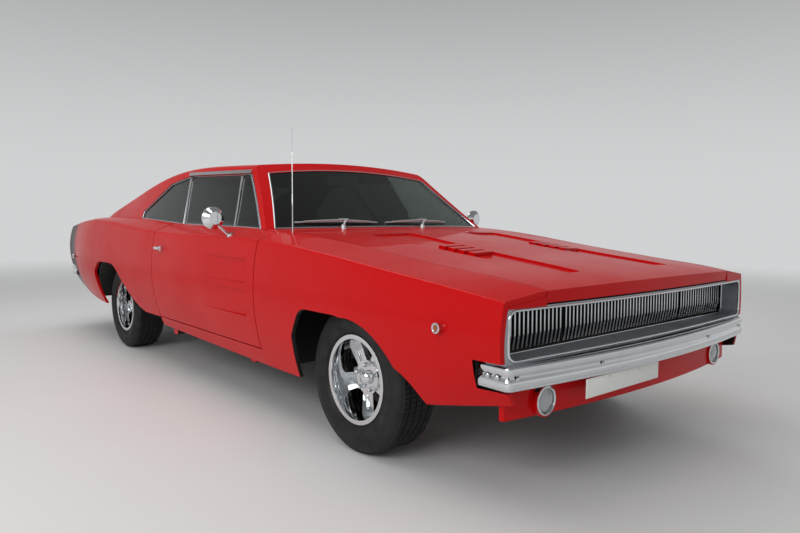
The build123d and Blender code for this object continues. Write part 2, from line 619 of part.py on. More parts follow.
def engine():
    """V8 with its gearbox, heads, manifold and round air cleaner, as one closed block."""
    block = box(1180, 1800, -170, 170, 304, 560)
    block += both(Pos(1490, 205, 590) * Rot(45, 0, 0) * Box(600, 200, 210))
    block += box(1260, 1720, -120, 120, 540, 720)
    block += Pos(1500, 0, 775) * Cylinder(185, 70)
    block += Pos(1500, 0, 730) * Cylinder(70, 60)
    block += box(440, 1190, -84, 84, 292, 404)
    block += Pos(1830, 0, 470) * Rot(0, 90, 0) * Cylinder(95, 80)
    block += both(box(1440, 1560, 150, RAIL_Y1 - 20, 372, 420))
    return block


keep("engine", engine())
PIPE_R = 24
PIPE_Y = 213
PIPE_Z = 219


def pipe(x0, x1, radius, y=PIPE_Y, z=PIPE_Z):
    """A straight round length along the car."""
    return Pos((x0 + x1) / 2, y, z) * Rot(0, 90, 0) * Cylinder(radius, x1 - x0)


exhaust = pipe(-2050, 1376, PIPE_R) + pipe(-640, -120, 54, z=PIPE_Z - 24) + pipe(-2480, -2040, 62)
exhaust += pipe(-2600, -2460, 34) - pipe(-2610, -2500, 30)
exhaust += Pos(1376, PIPE_Y, 260) * Cylinder(PIPE_R, 88) + Pos(1376, PIPE_Y, PIPE_Z) * Sphere(PIPE_R)
for x in (-300, 700):
    exhaust += box(x - 6, x + 6, 205, 221, PIPE_Z + PIPE_R - 4, FLOOR_Z)
exhaust += box(-2206, -2194, 205, 221, PIPE_Z + 50, BOOT_FLOOR_Z)
keep("exhaust", both(exhaust))
keep("fuel_tank", box(-2040, -1600, -480, 480, 330, BOOT_FLOOR_Z))

# ---- tail ----
tail = BODY & (Pos(26, 0, 0) * TAIL) & INNER & box(-2700, -2400, -1000, 1000, 560, 900)
keep("tail_panel", tail)
TAIL_LAMP_R = 60
TAIL_LAMPS_Y = (400, 560)
lamps = Part()
for y in TAIL_LAMPS_Y:
    lamps += both(Pos(-2590, y, 740) * Rot(0, 90, 0) * Cylinder(TAIL_LAMP_R, 44))
rear_marker = (Pos(-2330, 925, 650) * Rot(90, 0, 0) * Cylinder(MARKER_R, 40)) - BODY
lamps += both(rear_marker)
keep("tail_lamps", lamps - BODY - (Pos(26, 0, 0) * TAIL - TAIL))

# ---- cabin ----
dash = side_prism([(985, 640), (985, 900), (700, 892), (640, 850), (652, 700), (760, 640)], -759.7, 759.7)
keep("dashboard", dash)


def seat():
    """One front bucket: cushion and raked back."""
    cushion = box(-160, 400, 190, 690, 300, 440)
    back = side_prism([(-160, 380), (20, 380), (-170, 980), (-300, 980)], 190, 690)
    base = box(-60, 300, 240, 640, FLOOR_Z + FLOOR_T, 300)
    cushion = fillet(cushion.edges().filter_by(Axis.Z) + cushion.edges().group_by(Axis.Z)[-1], 34)
    back = fillet(back.edges().filter_by(lambda e: e.length < 200), 26)
    return cushion + back + base


bench = box(-860, -420, -590, 590, SEAT_PAN_Z + 14, 480)
bench += side_prism([(-860, 400), (-740, 400), (-900, 900), (-985, 900)], -590, 590)
keep("seats", both(seat()) + bench)
WHEEL_CENTER = (470, 380, 800)
COLUMN_TILT = 24
column = Pos(*WHEEL_CENTER) * Rot(0, 90 + COLUMN_TILT, 0) * Pos(0, 0, 107.8) * Cylinder(22, 185)
keep("steering_column", column - dash)
hoop = Torus(186, 13) + Cylinder(34, 30) + Box(380, 30, 12) + Pos(0, -90, 0) * Box(30, 180, 12)
keep("steering_wheel", Pos(*WHEEL_CENTER) * Rot(0, 90 + COLUMN_TILT, 0) * hoop)
glass_mirror = box(395, 405, -120, 120, 1215, 1275) + box(395, 430, -8, 8, 1265, 1305)
keep("interior_mirror", (glass_mirror & GREEN_IN) - (Pos(-12, 0, 0) * SCREEN))


# ---- trim on the outside ----
MIRROR_X = 646
MIRROR_Y = 1000
MIRROR_Z = 1005
MIRROR_R = 60
head = Pos(MIRROR_X - 14, MIRROR_Y, MIRROR_Z) * Rot(0, 90, 0) * Cylinder(MIRROR_R, 12)
head += Pos(MIRROR_X + 5, MIRROR_Y, MIRROR_Z) * Rot(0, 90, 0) * Cone(MIRROR_R, 34, 26)
mirror_left = head + Pos(MIRROR_X, 957, 948) * Rot(-50, 0, 0) * Cylinder(7, 150)
mirror_left += Pos(MIRROR_X, 905, 910) * Rot(-20, 0, 0) * Cylinder(20, 30)
handle = box(-306, -206, 966, 976, 800, 816) + box(-306, -294, 930, 976, 800, 816)
handle += box(-216, -190, 930, 976, 794, 822)
handle = fillet(handle.edges().filter_by(Axis.Z), 3)
handle += Pos(-203, 978, 808) * Rot(90, 0, 0) * Cylinder(9, 12)
FRAME_OUT = loft([hoop_section(h, 2) for h in HOOPS])


FRAME_BAND = FRAME_OUT - GLASS_OUT


def glass_strip(x_low, z_low, x_top, z_top, width):
    """A bright strip lying on the side glass, in the door's own plane."""
    strip = side_prism([(x_low, z_low), (x_low + width, z_low), (x_top + width, z_top),
                        (x_top, z_top)], 0, 1000)
    return (FRAME_BAND & strip) - BODY


trim_left = glass_strip(499, 930, 318, 1252, 14)
trim_left += glass_strip(842, 905, 424, 1254, 12)
trim_left += glass_strip(-199, 930, -420, 1272, 12)
mirror_left += handle + trim_left
keep_pair("door_brightwork", mirror_left - BODY)
ANTENNA_Y = -790
brightwork = (Pos(1087, ANTENNA_Y, 1170) * Cylinder(3, 560) +
              Pos(1087, ANTENNA_Y, 930) * Cylinder(18, 50)) - BODY
brightwork += (both(box(984, 994, 60, 560, 940, 968)) - BODY) - GREEN
brightwork += (Pos(-1700, 800, 985) * Cylinder(52, 70)) - BODY - GREEN
rail = (loft([hoop_section(h, -10) for h in HOOPS]) - GREEN) & side_prism(
    [(440, 1266), (440, 1286), (-420, 1304), (-420, 1284)], 0, 1000)
brightwork += both(rail)
keep("body_brightwork", brightwork)


# ---- wheels ----
def tyre():
    """Bead to bead section turned about the axle, which is along Y."""
    half = TYRE_W / 2
    bead = RIM_W / 2 - 8
    outer = [(RIM_R + 14, bead), (RIM_R + 24, half - 12), (252, half), (298, half - 9),
             (TYRE_R - 3, half - 26), (TYRE_R, 0)]
    points = [(RIM_R, 0), (RIM_R, bead)] + outer
    points += [(r, -y) for r, y in reversed(outer[:-1])] + [(RIM_R, -bead)]
    face = make_face(Polyline(*[(r, y, 0) for r, y in points], close=True))
    shoulders = [v for v in face.vertices() if abs(v.X - 252) < 0.01 or abs(v.X - 298) < 0.01]
    return revolve(fillet(shoulders, radius=18), axis=Axis.Y)


SPOKE_COUNT = 5
SPOKE_ROOT_W = 62
SPOKE_TIP_W = 84
SPOKE_SLOT_W = 22
LUG_PCD = 114.3
LUG_R = 10
CAP_R = 30


def spoke(disc_y):
    """One spoke: it widens to the rim, falls back along its length and has a sunk middle."""
    root, tip = 44, RIM_R - 10
    outline = [(root, -SPOKE_ROOT_W / 2), (tip, -SPOKE_TIP_W / 2), (tip, SPOKE_TIP_W / 2),
               (root, SPOKE_ROOT_W / 2)]
    blade = extrude(make_face(Polyline(*[(r, disc_y - 26, w) for r, w in outline], close=True)),
                    amount=26, dir=(0, 1, 0))
    groove = box(root + 34, tip - 26, disc_y - 9, disc_y + 1, -SPOKE_SLOT_W / 2, SPOKE_SLOT_W / 2)
    return blade - fillet(groove.edges().filter_by(Axis.Y), SPOKE_SLOT_W / 2 - 1)


def rim():
    """Deep-dished rim with five spokes, a square-shouldered centre, nuts and a cap."""
    half = RIM_W / 2
    points = [(RIM_R - 12, -half), (RIM_R + 13, -half), (RIM_R + 13, 8 - half), (RIM_R, 8 - half),
              (RIM_R, half - 8), (RIM_R + 13, half - 8), (RIM_R + 13, half), (RIM_R - 6, half),
              (RIM_R - 10, half - 12), (RIM_R - 16, half - DISH_DEPTH),
              (RIM_R - 16, half - DISH_DEPTH - 26), (RIM_R - 12, half - DISH_DEPTH - 34)]
    barrel = revolve(make_face(Polyline(*[(r, y, 0) for r, y in points], close=True)), axis=Axis.Y)
    disc_y = half - DISH_DEPTH
    hub = Pos(0, disc_y - 10, 0) * Rot(90, 0, 0) * Cylinder(76, 32)
    hub += Pos(0, disc_y + 10, 0) * Rot(90, 0, 0) * Cylinder(CAP_R, 24)
    for i in range(SPOKE_COUNT):
        turn = Rot(0, 360 / SPOKE_COUNT * i + 90, 0)
        hub += turn * spoke(disc_y)
        hub += turn * Rot(0, 36, 0) * Pos(LUG_PCD / 2, disc_y + 12, 0) * Rot(90, 0, 0) * Cylinder(
            LUG_R, 16)
    return barrel + hub


def place(shape, x, y):
    """Set a wheel made about the origin on its axle, mirrored on the right."""
    if y < 0:
        shape = mirror(shape, about=Plane.XZ)
    return Pos(x, y, TYRE_R) * shape


the_tyre, the_rim = tyre(), rim()
for end, x, track in (("front", FRONT_AXLE_X, FRONT_TRACK), ("rear", REAR_AXLE_X, REAR_TRACK)):
    for side, sign in (("left", 1), ("right", -1)):
        keep(f"tyre_{end}_{side}", place(the_tyre, x, sign * track / 2))
        keep(f"rim_{end}_{side}", place(the_rim, x, sign * track / 2))
HUB_FACE_Y = FRONT_TRACK / 2 + RIM_W / 2 - DISH_DEPTH - HUB_SEAT
knuckle = Pos(FRONT_AXLE_X, (665 + HUB_FACE_Y) / 2, TYRE_R) * Rot(90, 0, 0) * Cylinder(40, HUB_FACE_Y - 665)
knuckle += Pos(FRONT_AXLE_X, 712, TYRE_R) * Rot(90, 0, 0) * Cylinder(128, 44)
post_z0, post_z1 = arm_z + 24.3, 419.7
knuckle += Pos(FRONT_AXLE_X, KINGPIN_Y, (post_z0 + post_z1) / 2) * Cylinder(14, post_z1 - post_z0)
keep_pair("knuckle", knuckle)

if __name__ == "__main__":
    for name, shape in made.items():
        print(name, shape.is_valid, len(shape.solids()), round(shape.volume / 1e6, 2))
        export_step(shape, f"parts/{name}.step")
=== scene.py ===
# %% [markdown]
# This lesson dresses the imported model of a two-door fastback muscle car of the late 1960s. The solids
# already stand in one shared frame, +X forward and z = 0 on the road, so nothing here is fitted: a piece
# goes where the solids say. The frame is loaded first.

# %% load the frame
import json
from math import cos, pi, radians, sin

import bmesh
import bpy
from mathutils import Matrix, Vector

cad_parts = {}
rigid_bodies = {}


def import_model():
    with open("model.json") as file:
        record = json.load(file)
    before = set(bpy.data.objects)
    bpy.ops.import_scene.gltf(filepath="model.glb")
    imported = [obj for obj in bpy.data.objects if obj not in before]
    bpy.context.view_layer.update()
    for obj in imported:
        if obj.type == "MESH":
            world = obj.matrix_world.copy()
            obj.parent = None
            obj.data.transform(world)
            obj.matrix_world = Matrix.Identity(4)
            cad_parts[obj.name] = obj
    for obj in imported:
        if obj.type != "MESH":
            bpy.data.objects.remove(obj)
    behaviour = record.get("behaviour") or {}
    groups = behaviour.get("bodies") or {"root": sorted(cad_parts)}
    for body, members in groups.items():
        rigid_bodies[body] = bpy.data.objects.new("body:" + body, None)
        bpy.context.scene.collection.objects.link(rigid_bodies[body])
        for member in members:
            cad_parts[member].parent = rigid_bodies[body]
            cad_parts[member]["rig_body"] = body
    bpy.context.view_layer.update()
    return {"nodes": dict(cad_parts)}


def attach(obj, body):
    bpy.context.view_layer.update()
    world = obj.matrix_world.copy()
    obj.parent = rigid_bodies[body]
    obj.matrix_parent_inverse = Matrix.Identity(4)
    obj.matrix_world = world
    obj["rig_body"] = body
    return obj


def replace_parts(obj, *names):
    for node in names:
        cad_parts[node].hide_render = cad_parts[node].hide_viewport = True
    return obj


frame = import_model()
MM = 0.001

# %% [markdown]
# The camera stands at the front right of the car, at chest height, three and a half metres off, with a
# lens of about 30 mm. Its matrix is written from yaw, pitch and roll, so it needs no target object. The
# shift is a pixel or two.

# %% camera
YAW, PITCH, ROLL = 2.4325447, -0.0791975, 0.0075499


def look(yaw, pitch, roll):
    """Camera axes as a matrix: right, up and back."""
    ahead = Vector((cos(pitch) * cos(yaw), cos(pitch) * sin(yaw), sin(pitch)))
    level = ahead.cross(Vector((0, 0, 1))).normalized()
    lift = level.cross(ahead)
    right = level * cos(roll) + lift * sin(roll)
    up = lift * cos(roll) - level * sin(roll)
    return Matrix((right, up, -ahead)).transposed().to_4x4()


camera = bpy.data.objects.new("camera", bpy.data.cameras.new("camera"))
bpy.context.scene.collection.objects.link(camera)
camera.matrix_world = Matrix.Translation((3.9357, -2.5179, 1.0261)) @ look(YAW, PITCH, ROLL)
camera.data.sensor_width = 36
camera.data.lens = 29.70
camera.data.shift_x, camera.data.shift_y = -0.0019, 0.0017
bpy.context.scene.camera = camera
print("lens", camera.data.lens)

# %% [markdown]
# Every finish is a node material. One function turns a written sRGB colour into the linear numbers that
# Blender works in, one adds a node with its settings and links, and one makes the two things nearly every
# real surface has: a colour that drifts a little over a hand's width, and a fine grain with a real size.

# %% helpers for finishes
def linear(colour):
    """Linear values of an sRGB hex colour."""
    parts = [int(colour[i:i + 2], 16) / 255 for i in (1, 3, 5)]
    return tuple(c / 12.92 if c <= 0.04045 else ((c + 0.055) / 1.055) ** 2.4 for c in parts) + (1.0,)


def add(tree, kind, inputs=None, **settings):
    """Add one node with its settings; an input is a value or another node's output."""
    node = tree.nodes.new(kind)
    for key, value in settings.items():
        setattr(node, key, value)
    for socket, value in (inputs or {}).items():
        if isinstance(value, bpy.types.NodeSocket):
            tree.links.new(value, node.inputs[socket])
        else:
            node.inputs[socket].default_value = value
    return node


def finish(name, colour, shade, roughness, drift_mm, grain_mm, depth_mm, sockets=None,
           texture="ShaderNodeTexNoise", round_mm=0):
    """A surface whose colour drifts to a shade, with a grain of a real size and depth."""
    material = bpy.data.materials.new(name)
    material.use_nodes = True
    tree = material.node_tree
    shader = tree.nodes["Principled BSDF"]
    where = add(tree, "ShaderNodeTexCoord").outputs["Object"]
    drift = add(tree, "ShaderNodeTexNoise", {"Vector": where, "Scale": 1000 / drift_mm, "Detail": 4.0})
    blend = add(tree, "ShaderNodeMix", {0: drift.outputs[0], 6: linear(colour), 7: linear(shade)},
                data_type="RGBA", name="drift")
    worn = add(tree, "ShaderNodeMapRange", {0: drift.outputs[0], 1: 0.3, 2: 0.7, 3: roughness * 0.8,
                                            4: roughness * 1.25})
    grain = add(tree, texture, {"Vector": where, "Scale": 1000 / grain_mm})
    bump = add(tree, "ShaderNodeBump", {"Height": grain.outputs[0], "Strength": 1.0,
                                        "Distance": depth_mm * MM}, name="grain")
    if round_mm:
        edge = add(tree, "ShaderNodeBevel", {"Radius": round_mm * MM}, samples=4)
        tree.links.new(edge.outputs[0], bump.inputs["Normal"])
    tree.links.new(blend.outputs[2], shader.inputs["Base Color"])
    tree.links.new(worn.outputs[0], shader.inputs["Roughness"])
    tree.links.new(bump.outputs[0], shader.inputs["Normal"])
    for socket, value in (sockets or {}).items():
        shader.inputs[socket].default_value = value
    return material


METAL = {"Metallic": 1.0}
print("helpers ready")

# %% [markdown]
# The body is sprayed acrylic enamel: a saturated red under a clear glossy film. The film is the shader's
# coat, and its slight orange peel, waves about 4 mm across, bends reflections a little. The red itself
# stays fairly rough below. A bevel node rounds the sheet's folded edges in the light alone.

# %% body paint
PAINT_COAT = {"Coat Weight": 0.32, "Coat Roughness": 0.03, "Coat IOR": 1.4, "Specular IOR Level": 0.06}
red_enamel = finish("red_acrylic_enamel", "#CC060B", "#C00408", 0.38, 400, 4, 0.004, PAINT_COAT, round_mm=3)
print("paint", red_enamel.name)

# %% [markdown]
# A black band and a thin black line run round the tail, painted under the same clear film. They follow
# the distance along the car, so a colour ramp on the X coordinate is enough, with hard steps.

# %% tail stripe
striped_enamel = red_enamel.copy()
striped_enamel.name = "striped_acrylic_enamel"
STRIPE_FRONT, STRIPE_BACK = -2.300, -2.560
tree = striped_enamel.node_tree
along = add(tree, "ShaderNodeSeparateXYZ", {0: add(tree, "ShaderNodeTexCoord").outputs["Object"]})
reach = add(tree, "ShaderNodeMapRange", {0: along.outputs[0], 1: STRIPE_FRONT, 2: STRIPE_BACK})
ramp = add(tree, "ShaderNodeValToRGB", {0: reach.outputs[0]})
ramp.color_ramp.interpolation = "CONSTANT"
for place, amount in ((0.0, 0), (0.02, 1), (0.14, 0), (0.24, 1), (0.98, 0)):
    step = ramp.color_ramp.elements[0] if place == 0 else ramp.color_ramp.elements.new(place)
    step.color = (amount, amount, amount, 1)
ramp.color_ramp.elements.remove(ramp.color_ramp.elements[-1])
band = add(tree, "ShaderNodeMix", {0: ramp.outputs[0], 6: tree.nodes["drift"].outputs[2], 7: linear("#0B0B0C")},
           data_type="RGBA")
tree.links.new(band.outputs[2], tree.nodes["Principled BSDF"].inputs["Base Color"])
print("stripe steps", len(ramp.color_ramp.elements))

# %% [markdown]
# Bright metal comes in three kinds. Bumpers, wheels and handles are chromium plate over polished steel, a
# near mirror with faint polishing haze. Window and lamp trim is bright stainless strip, softer. The
# recessed grille box is sprayed argent, a fine silver paint.

# %% bright finishes
chrome = finish("chromium_plate", "#E2E4E6", "#D3D6D9", 0.06, 90, 0.8, 0.0006, METAL, round_mm=2)
stainless = finish("bright_stainless_strip", "#D4D6D8", "#C2C5C8", 0.14, 60, 1.2, 0.001, METAL)
argent = finish("argent_silver_paint", "#A7ACB2", "#999EA5", 0.36, 120, 1.0, 0.004, {"Metallic": 0.65},
                round_mm=2)
iron_drum = finish("machined_cast_iron", "#5B5856", "#3D3937", 0.5, 30, 1.0, 0.05, METAL)
exhaust_steel = finish("aluminised_steel", "#9A9B9C", "#7C7A78", 0.42, 45, 0.9, 0.02, METAL)
print("bright", [each.name for each in (chrome, stainless, argent, iron_drum, exhaust_steel)])

# %% [markdown]
# Glass is toughened soda-lime with a green-grey tint set far darker than real glass, painted shade that
# makes the panes read dark as if the cabin behind them lay in shadow; its only grain is a trace of haze.
# Lamp lenses are pressed glass or acrylic, coloured through, with ribs that spread the light.

# %% glass and lenses
# The glass tint is painted shade, far darker than the faint green of real glass.
glass = finish("toughened_glass_with_painted_shade", "#59645F", "#545F5A", 0.01, 300, 60, 0.002, {"Transmission Weight": 1.0})
LENS = {"Transmission Weight": 0.55, "Coat Weight": 1.0, "Coat Roughness": 0.03}
red_lens = finish("red_acrylic_lens", "#9E0508", "#7E0306", 0.15, 30, 5, 0.3, LENS, "ShaderNodeTexVoronoi")
clear_lens = finish("pressed_clear_glass", "#E8ECEC", "#DDE3E3", 0.08, 30, 6, 0.4, LENS, "ShaderNodeTexVoronoi")
amber_lens = finish("amber_acrylic_lens", "#C9620A", "#B45307", 0.15, 30, 5, 0.3, LENS, "ShaderNodeTexVoronoi")
print("clear", [each.name for each in (glass, red_lens, clear_lens, amber_lens)])

# %% [markdown]
# Dark finishes differ mostly in how they scatter: satin chassis paint with road dust, moulded plastic,
# tyre rubber, embossed vinyl with a leather grain of about 1.6 mm, cut-pile carpet, and headlining.

# %% dark finishes
chassis_black = finish("satin_chassis_paint", "#151515", "#22201E", 0.55, 160, 1.5, 0.05)
moulded_black = finish("moulded_black_plastic", "#0C0C0D", "#121213", 0.38, 80, 0.6, 0.01, round_mm=1)
rubber = finish("tyre_rubber", "#101011", "#181818", 0.7, 70, 0.7, 0.06)
vinyl = finish("embossed_vinyl", "#0E0E0F", "#141415", 0.42, 120, 1.6, 0.12, {"Sheen Weight": 0.15},
               "ShaderNodeTexVoronoi")
carpet = finish("cut_pile_carpet", "#101011", "#1B1A19", 0.95, 60, 2.4, 1.2, {"Sheen Weight": 0.4})
headlining = finish("perforated_headlining", "#131314", "#19191A", 0.8, 150, 4.0, 0.2, None,
                    "ShaderNodeTexVoronoi")
print("dark", [each.name for each in (chassis_black, moulded_black, rubber, vinyl, carpet, headlining)])

# %% [markdown]
# Two more paints: the engine's orange-red enamel over sand-cast iron, rough with casting grain, and the
# smooth white enamel of the blank plates.

# %% engine and plate paint
engine_enamel = finish("engine_enamel_on_casting", "#B2411A", "#93330F", 0.4, 70, 2.0, 0.15)
plate_enamel = finish("white_plate_enamel", "#ECECE8", "#E9E9E5", 0.35, 60, 3.0, 0.002, {"Coat Weight": 0.2})
print("materials", len(bpy.data.materials))

# %% [markdown]
# A panel's shape comes straight from the solids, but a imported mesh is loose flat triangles. A copy is
# merged, its folds are marked sharp by angle and the rest is shaded smooth, and weighted normals keep
# the large faces calm.

# %% helpers for pieces
def point(x, y, z):
    """Millimetres to a vector in metres."""
    return Vector((x, y, z)) * MM


def piece(bm, name, body, material, crease=35):
    """A finished piece from a bmesh, riding on a body."""
    for face in bm.faces:
        face.smooth = True
    for edge in bm.edges:
        edge.smooth = edge.calc_face_angle(0) < radians(crease)
    mesh = bpy.data.meshes.new(name)
    bm.to_mesh(mesh)
    bm.free()
    if "custom_normal" in mesh.attributes:
        mesh.attributes.remove(mesh.attributes["custom_normal"])
    mesh.materials.clear()
    mesh.materials.append(material)
    made = bpy.data.objects.new(name, mesh)
    bpy.context.scene.collection.objects.link(made)
    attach(made, body)
    return made


WELD = 0.00002


def merged(node):
    """A welded copy of a node's triangles."""
    bm = bmesh.new()
    bm.from_mesh(frame["nodes"][node].data)
    bmesh.ops.remove_doubles(bm, verts=bm.verts, dist=WELD)
    return bm


print("welding distance", WELD)

# %% [markdown]
# Two openings in the wings are made here. The bumper's ends wrap into a pocket, so the outer skin is cut
# along three planes and the faces between them are deleted. The front arch has a round shoulder, and a
# boolean with a short cylinder cuts that cleanly out of a closed shell.

# %% openings in the wings
def open_pocket(bm, back, low, high):
    """Cut the wing's outer skin away where the bumper's end wraps round it."""
    for place, normal in (((back, 0, 0), (1, 0, 0)), ((0, 0, low), (0, 0, 1)), ((0, 0, high), (0, 0, 1))):
        bmesh.ops.bisect_plane(bm, geom=bm.verts[:] + bm.edges[:] + bm.faces[:], plane_co=point(*place),
                               plane_no=normal)
    centres = [(face, face.calc_center_median() / MM) for face in bm.faces]
    gone = [face for face, at in centres if at.x > back and low < at.z < high and abs(at.y) > 870]
    bmesh.ops.delete(bm, geom=gone, context="FACES")


def round_arch(bm, x, z, radius):
    """Cut the front arch's shoulder to a round line, on both wings."""
    wing = bpy.data.objects.new("wing", bpy.data.meshes.new("wing"))
    bm.to_mesh(wing.data)
    rounds = bmesh.new()
    for side in (-1, 1):
        bmesh.ops.create_cone(rounds, cap_ends=True, segments=128, radius1=radius * MM, radius2=radius * MM,
                              depth=0.3, matrix=Matrix.Translation(point(x, side * 860, z)) @
                              Matrix.Rotation(radians(90), 4, "X"))
    cutter = bpy.data.objects.new("cutter", bpy.data.meshes.new("cutter"))
    rounds.to_mesh(cutter.data)
    rounds.free()
    for each in (wing, cutter):
        bpy.context.scene.collection.objects.link(each)
    cut = wing.modifiers.new("arch", "BOOLEAN")
    cut.operation, cut.object, cut.solver = "DIFFERENCE", cutter, "EXACT"
    shaped = bpy.data.meshes.new_from_object(wing.evaluated_get(bpy.context.evaluated_depsgraph_get()))
    bm.clear()
    bm.from_mesh(shaped)
    bpy.data.objects.remove(wing)
    bpy.data.objects.remove(cutter)
    bpy.data.meshes.remove(shaped)


POCKET_BACK, POCKET_LOW, POCKET_HIGH = 2434, 444, 546
ARCH = (1742, 262, 341)
print("arch rounded to a radius of", ARCH[2], "mm")

# %% [markdown]
# Most panels need the same treatment, so one function dresses a node: a welded copy, an opening where one
# is asked for, the finish, a second material for the faces that pass a test, and weighted normals.

# %% dressing a node
def dressed(node, material, parts=(), crease=32, cut=None, pocket=None, arch=None):
    """The merged, smoothed stand-in for a node; parts lists (material, test) for other faces."""
    bm = merged(node)
    if arch:
        round_arch(bm, *arch)
        bmesh.ops.remove_doubles(bm, verts=bm.verts, dist=WELD)
    if pocket:
        open_pocket(bm, *pocket)
    if cut:
        gone = [face for face in bm.faces if cut(face.calc_center_median() / MM)]
        bmesh.ops.delete(bm, geom=gone, context="FACES")
    made = piece(bm, node + "_skin", frame["nodes"][node]["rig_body"], material, crease)
    for other, test in parts:
        made.data.materials.append(other)
        for face in made.data.polygons:
            if test(face.center / MM, face.normal):
                face.material_index = len(made.data.materials) - 1
    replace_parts(made, node)
    made.modifiers.new("even", "WEIGHTED_NORMAL").keep_sharp = True
    return made


# %% [markdown]
# The painted panels come next. Sheet metal is sprayed on its outside. Towards the cabin the same panels
# are trimmed in vinyl or headlining, and inside the wings they are satin black. A test on a face's place
# and direction tells these sides apart.

# %% body panels
FRONT_AXLE_X, REAR_AXLE_X, AXLE_Z = 1686, -1286, 320


def inside_roof(at, normal):
    return normal.z < -0.2 or (abs(at.y) < 700 and normal.y * at.y < 0 and abs(normal.y) > 0.3)


def inside_wall(at, normal):
    return normal.y * at.y < -0.3 * abs(at.y) and abs(at.y) < 800


for node in ("deck_panel", "rear_valance"):
    dressed(node, red_enamel)
dressed("hood", red_enamel,
        [(chassis_black, lambda at, normal: at.x > 2200 and (normal.z < -0.5 or normal.x < -0.5))], crease=55)
dressed("front_valance", red_enamel,
        [(chassis_black, lambda at, normal: normal.x < -0.4 or (normal.z > 0.6 and abs(at.z - 440) < 40))])


def inside_wing(at, normal):
    hub = Vector((at.x - FRONT_AXLE_X, 0, at.z - AXLE_Z))
    to_wheel = hub.length < 470 and hub.dot(normal) < -0.5 * hub.length
    behind = at.x > POCKET_BACK and at.z > 560 and (normal.z < -0.4 or normal.x < -0.4)
    pocket_wall = abs(at.x - POCKET_BACK) < 4 and normal.x > 0.7 and POCKET_LOW - 4 < at.z < POCKET_HIGH + 4
    return to_wheel or behind or pocket_wall or normal.y * at.y < -0.4 * abs(at.y)


dressed("front_fenders", red_enamel, [(chassis_black, inside_wing)],
        pocket=(POCKET_BACK, POCKET_LOW, POCKET_HIGH), arch=ARCH)
dressed("cowl_panel", red_enamel)
dressed("roof", red_enamel, [(headlining, inside_roof)])
for side in ("left", "right"):
    dressed("door_" + side, red_enamel, [(vinyl, inside_wall)])
dressed("quarter_panels", striped_enamel, [(vinyl, inside_wall)])
dressed("boot_lid", striped_enamel)
print("panels dressed")

# %% [markdown]
# Nodes that need no more than a true finish keep their own solid: chassis, floor, tank, tail panel.
# Carried-over nodes take the material in their own slots.

# %% carried-over nodes
def coat(node, material):
    """Give a CAD node its finish."""
    mesh = frame["nodes"][node].data
    mesh.materials.clear()
    mesh.materials.append(material)


for node in ("front_frame", "radiator_support", "fuel_tank"):
    coat(node, chassis_black)
for node in ("rear_axle", "knuckle_left", "knuckle_right"):
    dressed(node, chassis_black, [(iron_drum, lambda at, normal: abs(at.y) > 660)])
dressed("tail_panel", moulded_black)
dressed("exhaust", exhaust_steel)
dressed("floor_pan", chassis_black,
        [(carpet, lambda at, normal: normal.z > 0.5 and abs(at.y) < 770 and -1000 < at.x < 1000),
         (red_enamel, lambda at, normal: abs(at.y) > 850 and -390 < at.x < 985)])
for node in ("windscreen", "rear_window", "quarter_glass", "door_glass_left", "door_glass_right"):
    dressed(node, glass)
print("carried over")

# %% [markdown]
# Simple shapes are made by a few operators again and again. Two of them are a block with rounded edges and
# a profile spun round an axis. A spin leaves doubles at its poles and may turn the skin inside out, so the
# doubles are merged and the normals recalculated.

# %% blocks and turned shapes
def block(low, high, round_mm, segments=2):
    """A box between two corners with its edges rounded."""
    bm = bmesh.new()
    bmesh.ops.create_cube(bm, size=1)
    low, high = point(*low), point(*high)
    bmesh.ops.scale(bm, vec=high - low, verts=bm.verts)
    bmesh.ops.translate(bm, vec=(low + high) / 2, verts=bm.verts)
    bmesh.ops.bevel(bm, geom=bm.edges[:], offset=round_mm * MM, segments=segments, affect="EDGES",
                    profile=0.5, material=-1)
    return bm


FULL_TURN = 48


def lathe(profile, centre, axis=(0, 0, 1), steps=FULL_TURN):
    """Spin a profile of (radius, height) round an axis."""
    bm = bmesh.new()
    line = [bm.verts.new(point(radius, 0, height)) for radius, height in profile]
    edges = [bm.edges.new(pair) for pair in zip(line, line[1:])]
    bmesh.ops.spin(bm, geom=line + edges, cent=(0, 0, 0), axis=(0, 0, 1), angle=2 * pi, steps=steps,
                   use_merge=True)
    bmesh.ops.remove_doubles(bm, verts=bm.verts, dist=0.00001)
    bmesh.ops.recalc_face_normals(bm, faces=bm.faces)
    turn = Vector((0, 0, 1)).rotation_difference(Vector(axis)).to_matrix().to_4x4()
    bmesh.ops.transform(bm, matrix=Matrix.Translation(point(*centre)) @ turn, verts=bm.verts)
    return bm


print("a full turn has", FULL_TURN, "steps")

# %% [markdown]
# The third is a round bar along a line. It starts as a curve, because a curve keeps its section square to
# the path all the way. Parts are then joined, and mirrored to the other side of the car.

# %% bars and twins
def bar(points, radius, closed=False, resolution=3):
    """A round bar along points in millimetres."""
    line = bpy.data.curves.new("line", "CURVE")
    line.dimensions = "3D"
    line.bevel_depth = radius * MM
    line.bevel_resolution = resolution
    line.use_fill_caps = not closed
    spline = line.splines.new("POLY")
    spline.points.add(len(points) - 1)
    for spot, place in zip(spline.points, points):
        spot.co = (place[0] * MM, place[1] * MM, place[2] * MM, 1)
    spline.use_cyclic_u = closed
    holder = bpy.data.objects.new("line", line)
    bpy.context.scene.collection.objects.link(holder)
    mesh = bpy.data.meshes.new_from_object(holder.evaluated_get(bpy.context.evaluated_depsgraph_get()))
    bm = bmesh.new()
    bm.from_mesh(mesh)
    bmesh.ops.remove_doubles(bm, verts=bm.verts, dist=0.00001)
    bmesh.ops.recalc_face_normals(bm, faces=bm.faces)
    bpy.data.objects.remove(holder)
    return bm


